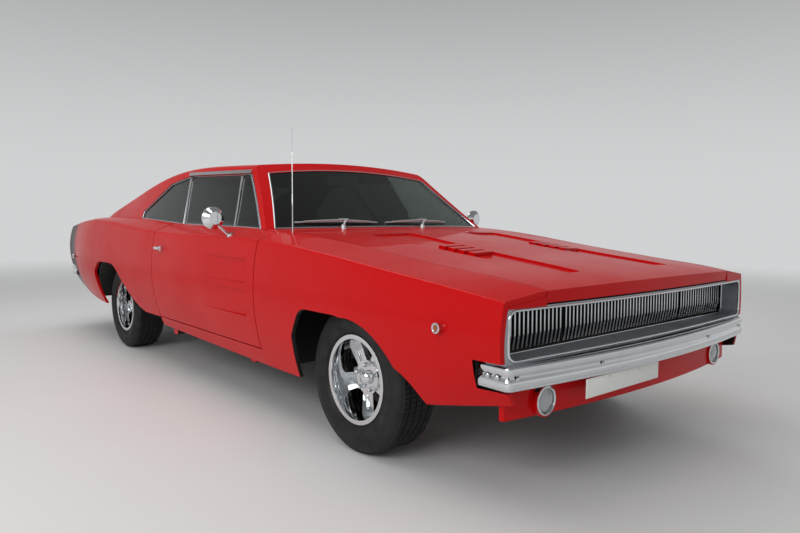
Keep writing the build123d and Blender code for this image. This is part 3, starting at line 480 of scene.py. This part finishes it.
def extrude(bm, faces, way):
    """Extrude faces and move what has grown."""
    grown = bmesh.ops.extrude_face_region(bm, geom=faces)["geom"]
    bmesh.ops.translate(bm, vec=way, verts=[v for v in grown if isinstance(v, bmesh.types.BMVert)])


def joined(parts):
    """Several bmeshes as one."""
    whole = bmesh.new()
    for part in parts:
        mesh = bpy.data.meshes.new("part")
        part.to_mesh(mesh)
        part.free()
        whole.from_mesh(mesh)
        bpy.data.meshes.remove(mesh)
    return whole


def mirrored(bm):
    """The same shape on the other side of the car."""
    other = bm.copy()
    bmesh.ops.scale(other, vec=(1, -1, 1), verts=other.verts)
    bmesh.ops.reverse_faces(other, faces=other.faces)
    return other


def both(bm):
    """A shape and its mirror twin."""
    return joined([mirrored(bm), bm])


print("shape helpers ready")

# %% [markdown]
# The nose is one dark full-width recess. Upright slats stand in it; each has a bright stainless nosing
# that leans back over its lowest third. One nosing is drawn as a side outline, extruded sideways and
# rounded, and then copied across each panel: the fixed centre and the two pivoting lamp doors.

# %% grille
GRILLE_X, GRILLE_LOW, GRILLE_TOP, KINK_Z = 2452, 554, 712, 610
PROUD, LEAN, PITCH_Y, NOSING_W = 12, 9, 24, 8


def nosing(y, low, high):
    """The bright edge of one slat."""
    bm = bmesh.new()
    front = GRILLE_X + PROUD
    profile = [(front - LEAN - 3, low), (front - LEAN + 1, low), (front + 1, KINK_Z), (front - 1, high),
               (front - 5, high), (front - 3, KINK_Z)]
    face = bm.faces.new([bm.verts.new(point(x, y - NOSING_W / 2, z)) for x, z in profile])
    extrude(bm, [face], point(0, NOSING_W, 0))
    bmesh.ops.recalc_face_normals(bm, faces=bm.faces)
    bmesh.ops.bevel(bm, geom=bm.edges[:], offset=1.2 * MM, segments=2, affect="EDGES", profile=0.5,
                    material=-1)
    return bm


def nosings(name, y0, y1, low, high, body):
    count = int((y1 - y0) / PITCH_Y)
    start = (y0 + y1) / 2 - (count - 1) * PITCH_Y / 2
    row = joined([nosing(start + i * PITCH_Y, low, high) for i in range(count)])
    piece(row, name, body, stainless)
    return count


slats = nosings("grille_nosings_center", -446, 446, GRILLE_LOW + 4, GRILLE_TOP - 4, "body")
slats += nosings("grille_nosings_left", 452, 866, GRILLE_LOW + 4, GRILLE_TOP - 4, "headlamp_door_left")
slats += nosings("grille_nosings_right", -866, -452, GRILLE_LOW + 4, GRILLE_TOP - 4, "headlamp_door_right")
for node in ("grille_center", "headlamp_door_left", "headlamp_door_right"):
    dressed(node, moulded_black)
dressed("grille_surround", argent)
print("slats", slats)

# %% [markdown]
# A bright frame runs round the mouth of the recess. A flat rectangle with rounded corners is bent to the
# bow of the nose, and a bar follows its outline.

# %% grille frame
def nose_x(y):
    """How far the bowed nose reaches at y."""
    return 2552 + 40 * (1 - (y / 905) ** 2)


def rounded_outline(half_y, half_z, corner):
    """Points round a rectangle with rounded corners, in order."""
    mouth = bmesh.new()
    bmesh.ops.create_grid(mouth, x_segments=1, y_segments=1, size=0.5)
    bmesh.ops.scale(mouth, vec=(2 * half_y * MM, 2 * half_z * MM, 1), verts=mouth.verts)
    bmesh.ops.bevel(mouth, geom=mouth.verts[:], offset=corner * MM, segments=6, affect="VERTICES",
                    profile=0.5, material=-1)
    bmesh.ops.subdivide_edges(mouth, edges=[e for e in mouth.edges if e.calc_length() > 1], cuts=20)
    line = sorted((v.co / MM for v in mouth.verts), key=lambda c: Vector((1, 0)).angle_signed(
        Vector((c.x / half_y, c.y / half_z)), 0))
    mouth.free()
    return line


frame_line = [(nose_x(c.x) - 1, c.x, 633 + c.y) for c in rounded_outline(872, 85, 34)]
piece(bar(frame_line, 5, closed=True), "grille_frame", "body", chrome)
inner_line = [(GRILLE_X + PROUD + 7, c.x, 633 + c.y) for c in rounded_outline(869, 82, 30)]
piece(bar(inner_line, 3.4, closed=True), "grille_inner_frame", "body", stainless)
print("frame points", len(frame_line), len(inner_line))

# %% [markdown]
# The wings' top edges roll down behind the frame as the bonnet's lip does. A narrow strip of grid is bent
# to the nose, given a top that follows the wing, and extruded backwards.

# %% wing lips
lip = bmesh.new()
bmesh.ops.create_grid(lip, x_segments=12, y_segments=1, size=0.5)
for vert in lip.verts:
    y = 790 + vert.co.x * 190
    top = 731 + 25 * (888 - y) / 196 if vert.co.y > 0 else 724
    vert.co = point(nose_x(y) + 3, y, top)
extrude(lip, lip.faces[:], point(-10, 0, 0))
bmesh.ops.recalc_face_normals(lip, faces=lip.faces)
piece(both(lip), "wing_lips", "body", red_enamel)
print("wing lips made")

# %% [markdown]
# Bumpers are pressed steel, polished and plated, with a groove rolled below the top rail. A plane cuts the
# skin at each height of the groove's section, and the points on that cut are pressed inwards.

# %% bumpers
RAIL = ((452, 5), (462, 2), (478, 0), (490, 2), (497, 8), (504, 8), (510, 2), (522, 0), (538, 1))
BUMPER_X, BUMPER_BOW, BUMPER_HALF = 2574, 67, 891


def bumper_x(y):
    """How far the bowed bumper's face reaches at y."""
    return BUMPER_X + BUMPER_BOW * (1 - (y / BUMPER_HALF) ** 2)


def rolled(node, sign, rise):
    """Roll the groove along a bumper's face and ends."""
    bm = merged(node)
    for height, depth in RAIL[1:-1]:
        bmesh.ops.bisect_plane(bm, geom=bm.verts[:] + bm.edges[:] + bm.faces[:],
                               plane_co=point(0, 0, height + rise), plane_no=(0, 0, 1))
    for vert in bm.verts:
        x, y, z = vert.co / MM
        depth = next((d for h, d in RAIL if abs(z - rise - h) < 0.6), None)
        if depth is None:
            continue
        if sign * x > bumper_x(y) - 30 and abs(y) < BUMPER_HALF - 6:
            vert.co.x -= sign * depth * MM
        elif abs(y) > BUMPER_HALF - 6:
            vert.co.y -= depth * MM * (1 if y > 0 else -1)
    made = piece(bm, node + "_skin", "body", chrome, 50)
    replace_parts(made, node)


rolled("front_bumper", 1, 0)
rolled("rear_bumper", -1, 22)
print("bumpers rolled at", len(RAIL) - 2, "heights")

# %% [markdown]
# Round-headed bolts carry the front bumper and show on its face, and its top tray is ribbed along its
# length.

# %% bumper bolts and ribs
bolt = [(0, 5), (6, 4), (10, 1.5), (11, 0)]
heads = []
for y in (845, 420):
    heads.append(both(lathe(bolt, (bumper_x(y) - 5, y, 495), (1, 0, 0), 20)))
heads.append(both(lathe(bolt, (2478, 889, 497), (0, 1, 0), 20)))
heads.append(both(lathe(bolt, (2520, 889, 497), (0, 1, 0), 20)))
piece(joined(heads), "bumper_bolts", "body", stainless)
ribs = []
for step in range(4):
    run = [(bumper_x(y) - 30 - step * 7, y, 528.6) for y in range(-820, 821, 82)]
    ribs.append(bar(run, 1.6, resolution=1))
piece(joined(ribs), "bumper_tray_ribs", "body", chrome)
print("bolts and ribs made")

# %% [markdown]
# The plates are blank enamelled sheets with a rolled edge, each held by two screws under the bumper.

# %% plates
PLATES = (("front", 2617, -519, -15, 380, 451, 1), ("rear", -2599, -152, 152, 372, 452, -1))
for name, x, y0, y1, z0, z1, out in PLATES:
    corners = ((y0 + 4, z0 + 3), (y1 - 4, z0 + 3), (y1 - 4, z1 - 3), (y0 + 4, z1 - 3))
    sheet = block((x - 1, y0, z0), (x + 1, y1, z1), 0.6, 2)
    edge = bar([(x + out, y, z) for y, z in corners], 1.4, closed=True, resolution=1)
    screws = [lathe([(0, 2.2), (3, 1.6), (4, 0)], (x + out, y, z1 - 10), (out, 0, 0), 16)
              for y in (y0 + 150, y1 - 150)]
    back, middle = x - out * 26, (y0 + y1) / 2
    stay = block((min(x, back), middle - 40, z1 - 20), (max(x, back), middle + 40, z1), 1)
    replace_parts(piece(joined([sheet, edge]), "plate_" + name, "body", plate_enamel), "plates")
    piece(joined(screws), "plate_screws_" + name, "body", stainless)
    piece(stay, "plate_stay_" + name, "body", chassis_black)
    print("plate", name, y1 - y0, "by", z1 - z0, "mm")

# %% [markdown]
# Sealed-beam headlamps wait behind their slatted doors, and parking lamps sit in round nacelles in the
# valance. Each is a pressed lens in a plated ring, and both are turned shapes, so a spun profile is the
# natural tool.

# %% headlamps and parking lamps
dressed("front_lamps", moulded_black,
        [(argent, lambda at, normal: at.x > 2290 and abs(at.y) < 860),
         (chrome, lambda at, normal: abs(at.y) > 900)])
beam = [(0, 9), (20, 8), (38, 5), (50, 1), (53, -2)]
ring = [(50, -4), (50, 3), (53, 5), (57, 3), (58, -4)]
for y in (574, 744):
    piece(both(lathe(beam, (2382, y, 633), (1, 0, 0))), f"headlamp_lens_{y}", "body", clear_lens)
    piece(both(lathe(ring, (2378, y, 633), (1, 0, 0))), f"headlamp_ring_{y}", "body", chrome)
park = [(0, 8), (18, 7), (36, 4), (44, 0)]
park_ring = [(44, -6), (44, 2), (48, 5), (53, 3), (54, -6)]
piece(both(lathe(park, (2538, 650, 382), (1, 0, 0))), "parking_lens", "body", clear_lens)
piece(both(lathe(park_ring, (2544, 650, 382), (1, 0, 0))), "parking_ring", "body", chrome)
print("front lamps made")

# %% [markdown]
# The markers on the flanks are amber in front and red behind. Two round red lamps stand on each side of
# the tail, each with a raised middle and a step that catches the light.

# %% markers and tail lamps
mark = [(0, 3.5), (7, 3), (12, 0.5), (12.5, -2)]
mark_ring = [(12, -3), (12, 1), (15, 2.5), (19, 1), (20, -3)]
for x, z, lens, name in ((2290, 636, amber_lens, "front"), (-2330, 650, red_lens, "rear")):
    y = 950 if x > 0 else 945
    piece(both(lathe(mark, (x, y, z), (0, 1, 0), 32)), name + "_marker_lens", "body", lens)
    piece(both(lathe(mark_ring, (x, y, z), (0, 1, 0), 32)), name + "_marker_ring", "body", chrome)
dressed("tail_lamps", red_lens, [(chrome, lambda at, normal: abs(at.y) > 700)])
tail_ring = [(54, -2), (54, 3), (58, 5), (64, 2), (65, -8)]
tail_lens = [(0, 7), (20, 6.5), (22, 4), (40, 3.5), (42, 5), (52, 2), (55, -2)]
for y in (400, 560):
    piece(both(lathe(tail_ring, (-2612, y, 740), (-1, 0, 0))), f"tail_ring_{y}", "body", chrome)
    piece(both(lathe(tail_lens, (-2612, y, 740), (-1, 0, 0))), f"tail_lens_{y}", "body", red_lens)
print("markers and tail lamps made")

# %% [markdown]
# Every pane sits in a bright moulding. The pane's own outer edge says where it runs: on a merged copy the
# faces that look outwards are kept, their free edges form a loop, and a thin bar follows that loop.

# %% window mouldings
def outline(node, facing, side=0):
    """The outer edge loops of the faces that look along facing, in millimetres."""
    bm = merged(node)
    facing = Vector(facing).normalized()
    bm.normal_update()
    gone = [f for f in bm.faces if f.normal.dot(facing) < 0.6 or f.calc_center_median().y * side < 0]
    bmesh.ops.delete(bm, geom=gone, context="FACES")
    free = [e for e in bm.edges if e.is_boundary]
    after = {}
    for edge in free:
        for a, b in (edge.verts, reversed(edge.verts)):
            after.setdefault(a, []).append(b)
    loops, seen = [], set()
    for start in after:
        if start in seen:
            continue
        loop, here, last = [start], start, None
        seen.add(start)
        while True:
            onward = [v for v in after[here] if v is not last and v not in seen]
            if not onward:
                break
            last, here = here, onward[0]
            seen.add(here)
            loop.append(here)
        loops.append([v.co / MM + facing * 3 for v in loop])
    bm.free()
    return max(loops, key=len)


PANES = (("windscreen", "windscreen", (0.65, 0, 0.76), 0, 6, "body"),
         ("rear_window", "rear_window", (-0.47, 0, 0.88), 0, 5, "body"),
         ("quarter_left", "quarter_glass", (0, 1, 0.4), 1, 5, "body"),
         ("quarter_right", "quarter_glass", (0, -1, 0.4), -1, 5, "body"),
         ("door_left", "door_glass_left", (0, 1, 0.4), 0, 5, "door_left"),
         ("door_right", "door_glass_right", (0, -1, 0.4), 0, 5, "door_right"))
for name, node, facing, side, radius, body in PANES:
    loop = outline(node, facing, side)
    piece(bar(loop, radius, closed=True, resolution=2), name + "_moulding", body, stainless)
    print(name, "moulding points", len(loop))

# %% [markdown]
# Small brightwork: the round door mirrors, handles and vent-window bars come from the solids, and so do
# the drip rails and the fuel filler. The aerial, a thin stepped rod on a round foot, is turned here.

# %% brightwork and aerial
for side in ("left", "right"):
    dressed("door_brightwork_" + side, chrome)
dressed("body_brightwork", chrome, cut=lambda at: at.x > 900)
aerial = [(0, 0), (17, 0), (17, 6), (9, 16), (5, 22), (2.6, 24), (2.6, 230), (2.0, 232), (2.0, 400), (1.4, 402),
          (1.4, 540), (3, 543), (3, 549), (0, 551)]
piece(lathe(aerial, (1087, -790, 898), steps=16), "aerial", "body", chrome)
print("aerial", aerial[-1][1], "mm tall")

# %% [markdown]
# Each wiper is a sprung blade with its bridge, on a bent arm from a spindle. It is aluminium, anodised to a
# satin silver, so it stays bright against the dark glass. A small function says where the bowed glass is.

# %% wipers


wiper_silver = finish("satin_anodised_aluminium", "#D9DBDD", "#CDD0D3", 0.42, 60, 1.2, 0.002, {"Metallic": 0.7})


def glass_x(y, z):
    """Where the windscreen's outer face is, at y and z."""
    t = (z - 946) / 355
    return 865 - 415 * t + (100 - 44 * t) * (1 - (y / (807 - 175 * t)) ** 2) - 4


for name, start, stop, spindle in (("right", -640, -120, -420), ("left", -60, 460, 160)):
    rest = [(glass_x(y, 984) + 9, y, 984 + 6 * (1 - ((y - start) / 520 - 0.5) ** 2 * 4))
            for y in range(start, stop + 1, 26)]
    blade = bar(rest, 4.6, resolution=2)
    spring = [(x + 4, y, z + 9 - abs(i - 10) * 0.7) for i, (x, y, z) in enumerate(rest)]
    bridge = bar(spring[2:-2], 4.2, resolution=2)
    mid = rest[10]
    arm = bar([(1004, spindle, 968), (996, spindle + 20, 996), (mid[0] + 14, mid[1] + 60, 1002),
               (mid[0] + 6, mid[1], mid[2] + 12)], 5.2, resolution=2)
    boss = lathe([(0, 34), (9, 33), (13, 26), (13, 0)], (1004, spindle, 942), steps=24)
    piece(joined([blade, bridge, arm, boss]), "wiper_" + name, "body", wiper_silver)
print("wipers made")

# %% [markdown]
# Tyres are bias-belted, with a rounded shoulder, a sidewall rib and a blocky tread. The section is spun
# with the tread lands as separate bands; insetting every land face and lifting it leaves real grooves.

# %% tyres
TYRE_STEPS = 96
LANDS = ((-84, -54), (-49, -20), (-15, 15), (20, 49), (54, 84))


def tyre(x, y):
    """One tyre, its axle along Y."""
    wall = [(184, 86), (196, 87), (204, 95), (207, 99), (212, 102), (216, 101), (236, 108.6), (252, 110.8),
            (262, 110.8), (266, 109), (284, 106.5), (298, 101), (307, 94), (312, 86)]
    crown = [(313, s) for land in reversed(LANDS) for s in reversed(land)]
    section = wall + crown + [(r, -w) for r, w in reversed(wall)] + [wall[0]]
    bm = lathe(section, (0, 0, 0), steps=TYRE_STEPS)
    tread = [f for f in bm.faces if all(abs(v.co.xy.length - 0.313) < 0.0002 for v in f.verts)
             and any(a * MM < f.calc_center_median().z < b * MM for a, b in LANDS)]
    bmesh.ops.inset_individual(bm, faces=tread, thickness=2 * MM, depth=6.4 * MM)
    turn = Matrix.Translation(point(x, y, AXLE_Z)) @ Matrix.Rotation(radians(90), 4, "X")
    bmesh.ops.transform(bm, matrix=turn, verts=bm.verts)
    return bm


print("tread lands", len(LANDS))

# %% [markdown]
# Five nuts hold each wheel round a plated centre cap. The same loop gives every wheel its tyre, its rim's
# plating and its nuts, and all of them turn with the wheel's own body.

# %% wheels
WHEELS = [(end + "_" + side, x, sign * half)
          for end, x, half in (("front", FRONT_AXLE_X, 755), ("rear", REAR_AXLE_X, 752))
          for side, sign in (("left", 1), ("right", -1))]
NUT_CIRCLE, HUB_PROUD = 57.15, 21
for where, x, y in WHEELS:
    made = piece(tyre(x, y), "tyre_" + where + "_tread", "wheel_" + where, rubber)
    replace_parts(made, "tyre_" + where)
    dressed("rim_" + where, chrome)
    out = 1 if y > 0 else -1
    face = abs(y) + HUB_PROUD
    nuts = []
    for i in range(5):
        turn = radians(72 * i + 90 + 36)
        spot = (x + NUT_CIRCLE * cos(turn), out * (face + 20), AXLE_Z - NUT_CIRCLE * sin(turn))
        nuts.append(lathe([(0, 9), (6, 8.5), (9, 6), (11, 0)], spot, (0, out, 0), 6))
    nuts.append(lathe([(0, 12), (14, 11), (24, 6), (29, 0), (31, -3)], (x, out * (face + 22), AXLE_Z),
                      (0, out, 0)))
    piece(joined(nuts), "wheel_nuts_" + where, "wheel_" + where, chrome)
print("wheels", len(WHEELS), "tyre faces", len(made.data.polygons))

# %% [markdown]
# Seats are foam on springs under vinyl. Each pad starts as a rounded block, is remeshed into even quads,
# and is blown up a little as cloth with inner pressure, so it crowns and its sides pull in. A cap on how
# far a point may move keeps the pad in its place.

# %% blowing up a pad
def apply_modifiers(made):
    """Turn what the modifiers show into the piece's own mesh."""
    made.data = bpy.data.meshes.new_from_object(made.evaluated_get(bpy.context.evaluated_depsgraph_get()))
    made.modifiers.clear()


def blown(made, cap_mm):
    """The piece blown up as cloth, as a bmesh."""
    made.modifiers.new("even", "REMESH").voxel_size = 9 * MM
    apply_modifiers(made)
    start = [v.co.copy() for v in made.data.vertices]
    cloth = made.modifiers.new("cloth", "CLOTH")
    cloth.settings.use_pressure = True
    cloth.settings.uniform_pressure_force = 4
    cloth.settings.effector_weights.gravity = 0
    for step in range(1, 21):
        bpy.context.scene.frame_set(step)
    apply_modifiers(made)
    bpy.context.scene.frame_set(1)
    bm = bmesh.new()
    bm.from_mesh(made.data)
    bm.verts.ensure_lookup_table()
    for vert, first in zip(bm.verts, start):
        move = vert.co - first
        if move.length > cap_mm * MM:
            vert.co = first + move.normalized() * cap_mm * MM
    return bm


print("pads are simulated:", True)

# %% [markdown]
# Sewn pleats are pressed in after the remeshing, which would lose them. Then the pad is leaned back and set
# in its place.

# %% seat pads
def pad(name, size, centre, lean, cap_mm, pleat_mm):
    """One upholstered pad: size is length, width and thickness before it is leaned back."""
    half = Vector(size) / 2
    made = piece(block(-half, half, 26, 3), name, "body", vinyl)
    bm = blown(made, cap_mm)
    bmesh.ops.subdivide_edges(bm, edges=bm.edges[:], cuts=1, use_grid_fill=True, smooth=0.2)
    bm.normal_update()
    for vert in bm.verts:
        inside = min(half.x * MM - abs(vert.co.x), half.y * MM - abs(vert.co.y))
        if vert.normal.z > 0.5 and inside > 45 * MM:
            off = (vert.co.y / MM + pleat_mm / 2) % pleat_mm - pleat_mm / 2
            vert.co.z -= 5 * MM * max(0.0, 1 - abs(off) / 9) ** 2
    turn = Matrix.Translation(point(*centre)) @ Matrix.Rotation(radians(lean), 4, "Y")
    bmesh.ops.transform(bm, matrix=turn, verts=bm.verts)
    for face in bm.faces:
        face.smooth = True
    bm.to_mesh(made.data)
    bm.free()
    made.data.materials.clear()
    made.data.materials.append(vinyl)
    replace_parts(made, "seats")
    print(name, len(made.data.polygons), "faces")
    return made


SEAT = (("cushion", (520, 470, 110), (122, 440, 368), -4, 14),
        ("back", (590, 470, 118), (-148, 440, 678), 72, 14))
for part, size, centre, lean, cap in SEAT:
    left = pad("seat_" + part + "_left", size, centre, lean, cap, 62)
    bm = bmesh.new()
    bm.from_mesh(left.data)
    right = piece(mirrored(bm), "seat_" + part + "_right", "body", vinyl, 180)
    bm.free()
    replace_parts(right, "seats")
pad("rear_cushion", (420, 1140, 88), (-640, 0, 426), -4, 12, 62)
pad("rear_back", (470, 1140, 84), (-866, 0, 652), 74, 10, 62)
piece(both(block((-60, 240, 266), (300, 640, 312), 12)), "seat_risers", "body", moulded_black)

# %% [markdown]
# The dash is padded vinyl with a cluster of round gauges before the driver. A gauge is a plated ring, a
# black face, white ticks set round it and a thin orange needle.

# %% dash and gauges
dressed("dashboard", vinyl)
dressed("steering_wheel", moulded_black)
dressed("steering_column", moulded_black)
dressed("interior_mirror", chrome)
white_mark = finish("white_dial_paint", "#E8E8E0", "#DCDCD4", 0.5, 20, 1, 0.01)
orange_mark = finish("orange_needle_paint", "#D8561A", "#C84A12", 0.5, 20, 1, 0.01)
FACE_X = 646
rings, dials, ticks, needles = [], [], [], []
LARGE, SMALL = 50, 28
for y, z, radius in ((470, 775, LARGE), (335, 775, LARGE), (575, 800, SMALL), (575, 735, SMALL),
                     (235, 800, SMALL), (235, 735, SMALL)):
    rings.append(lathe([(radius - 3, 2), (radius - 3, -5), (radius, -9), (radius + 5, -7), (radius + 6, 2)],
                       (FACE_X, y, z), (1, 0, 0), 40))
    dials.append(lathe([(0, -1), (radius - 2, -1), (radius - 2, 2)], (FACE_X - 1, y, z), (1, 0, 0), 40))
    for i in range(13):
        turn = radians(-130 + i * 260 / 12)
        tick = block((-0.6, -1, radius - 12), (0.6, 1, radius - 5), 0.3, 1)
        bmesh.ops.transform(tick, matrix=Matrix.Translation(point(FACE_X - 2.4, y, z)) @
                            Matrix.Rotation(turn, 4, "X"), verts=tick.verts)
        ticks.append(tick)
    needle = block((-0.6, -1, -6), (0.6, 1, radius - 10), 0.3, 1)
    bmesh.ops.transform(needle, matrix=Matrix.Translation(point(FACE_X - 4, y, z)) @
                        Matrix.Rotation(radians(-100), 4, "X"), verts=needle.verts)
    needles.append(needle)
piece(joined(rings), "gauge_rings", "body", chrome)
piece(joined(dials), "gauge_faces", "body", moulded_black)
piece(joined(ticks), "gauge_ticks", "body", white_mark)
piece(joined(needles), "gauge_needles", "body", orange_mark)
print("gauges", len(rings))

# %% [markdown]
# Door cards carry an armrest and a window crank. The shifter stands on the tunnel.

# %% cabin fittings
for side, sign in (("left", 1), ("right", -1)):
    card = block((-330, 770, 400), (740, 781, 850), 5)
    rest = block((-180, 716, 560), (230, 772, 612), 18, 3)
    crank = joined([lathe([(0, 14), (14, 12), (20, 0)], (380, 770, 640), (0, -1, 0), 24),
                    bar([(380, 754, 640), (372, 748, 690), (366, 744, 740)], 5),
                    lathe([(0, 26), (9, 24), (12, 12), (7, 0)], (366, 746, 740), (0, -1, 0), 20)])
    if sign < 0:
        card, rest, crank = mirrored(card), mirrored(rest), mirrored(crank)
    piece(card, "door_card_" + side, "door_" + side, vinyl)
    piece(rest, "armrest_" + side, "door_" + side, vinyl)
    piece(crank, "window_crank_" + side, "door_" + side, chrome)
lever = bar([(330, 0, 430), (320, 0, 520), (300, 0, 600), (290, 0, 640)], 6)
knob = lathe([(0, 48), (14, 45), (22, 32), (23, 22), (16, 6), (8, 0)], (290, 0, 628), steps=32)
piece(joined([lever, knob]), "shifter", "body", chrome)
piece(block((-150, -90, 428), (560, 90, 470), 14, 3), "console", "body", vinyl)
print("cabin fitted")

# %% [markdown]
# Under the bonnet the block wears engine enamel, and a wide plated air-cleaner lid with a wing nut.

# %% engine
dressed("engine", engine_enamel,
        [(moulded_black, lambda at, normal: at.z > 735 and 1300 < at.x < 1700),
         (exhaust_steel, lambda at, normal: at.x < 1180)])
lid = [(0, 10), (10, 9), (12, 4), (60, 3), (150, 1), (176, -6), (184, -12)]
piece(lathe(lid, (1500, 0, 811), steps=64), "air_cleaner_lid", "body", chrome)
print("engine dressed")

# %% [markdown]
# The studio is a plain pale floor and a pale world. The world is bright for what the camera, gloss and
# glass see, dimmer for the light it sheds, and darker towards the top, so that gloss has something to show.

# %% floor and world
PALE, SKY_SEEN, SKY_LIGHT = "#E9EAEB", 0.78, 0.5
floor_paint = finish("pale_floor_paint", "#E4E4E3", "#E0E0DF", 0.6, 900, 8, 0.02)
ground = bmesh.new()
bmesh.ops.create_grid(ground, x_segments=2, y_segments=2, size=60)
mesh = bpy.data.meshes.new("floor")
ground.to_mesh(mesh)
ground.free()
floor = bpy.data.objects.new("floor", mesh)
mesh.materials.append(floor_paint)
bpy.context.scene.collection.objects.link(floor)

world = bpy.data.worlds.new("studio")
bpy.context.scene.world = world
world.use_nodes = True


def is_seen(tree):
    """1 for rays that see the background, 0 for rays that carry its light."""
    path = add(tree, "ShaderNodeLightPath")
    seen = add(tree, "ShaderNodeMath", {0: path.outputs["Is Camera Ray"], 1: path.outputs["Is Glossy Ray"]},
               operation="MAXIMUM")
    return add(tree, "ShaderNodeMath", {0: seen.outputs[0], 1: path.outputs["Is Transmission Ray"]},
               operation="MAXIMUM").outputs[0]


tree = world.node_tree
height = add(tree, "ShaderNodeSeparateXYZ", {0: add(tree, "ShaderNodeTexCoord").outputs["Generated"]})
dusk = add(tree, "ShaderNodeMapRange",
           {0: height.outputs[2], 1: 0.02, 2: 0.55, 3: SKY_SEEN, 4: SKY_SEEN * 0.34},
           interpolation_type="SMOOTHSTEP")
level = add(tree, "ShaderNodeMix", {0: is_seen(tree), 2: SKY_LIGHT, 3: dusk.outputs[0]})
sky = tree.nodes["Background"]
sky.inputs["Color"].default_value = linear(PALE)
tree.links.new(level.outputs[0], sky.inputs["Strength"])
print("world seen at", SKY_SEEN, "and shedding", SKY_LIGHT)

# %% [markdown]
# Far from the car the floor fades into the backdrop's own tone, so no horizon line cuts the picture. The
# fade depends on the distance from the car alone, and the floor near the car keeps its shadow.

# %% floor fade
tree = floor_paint.node_tree
where = add(tree, "ShaderNodeTexCoord").outputs["Object"]
away = add(tree, "ShaderNodeVectorMath", {0: where}, operation="LENGTH")
fade = add(tree, "ShaderNodeMapRange", {0: away.outputs["Value"], 1: 4.5, 2: 13.0},
           interpolation_type="SMOOTHSTEP")
share = add(tree, "ShaderNodeMath", {0: fade.outputs[0], 1: is_seen(tree)}, operation="MULTIPLY")
glow = add(tree, "ShaderNodeEmission", {0: linear(PALE), 1: SKY_SEEN})
mixed = add(tree, "ShaderNodeMixShader", {0: share.outputs[0], 1: tree.nodes["Principled BSDF"].outputs[0],
                                          2: glow.outputs[0]})
tree.links.new(mixed.outputs[0], tree.nodes["Material Output"].inputs["Surface"])
print("floor fades from 4.5 m to 13 m")

# %% [markdown]
# Three soft boxes shape the car: a broad one overhead, a large one at the front right that lights the side,
# and a small one at the rear left. The last is hidden from gloss, where its edge would cut the wing's top.

# %% soft boxes
def softbox(name, place, target, width, height, watts):
    """A large soft lamp aimed at a point."""
    lamp = bpy.data.lights.new(name, "AREA")
    lamp.shape = "RECTANGLE"
    lamp.size, lamp.size_y, lamp.energy = width, height, watts
    holder = bpy.data.objects.new(name, lamp)
    holder.location = place
    holder.rotation_euler = (Vector(target) - Vector(place)).to_track_quat("-Z", "Y").to_euler()
    bpy.context.scene.collection.objects.link(holder)
    return holder


softbox("overhead", (-1.0, -1.5, 5.6), (0, 0, 0.6), 7.0, 3.5, 120)
softbox("front_right", (3.0, -6.2, 3.6), (0.4, -0.4, 0.5), 5.0, 2.4, 170)
softbox("rear_left", (-2.0, 5.2, 5.0), (-0.5, 0, 0.6), 4.0, 2.0, 80).visible_glossy = False
bpy.context.scene.view_settings.view_transform = "Standard"
print("studio lit")
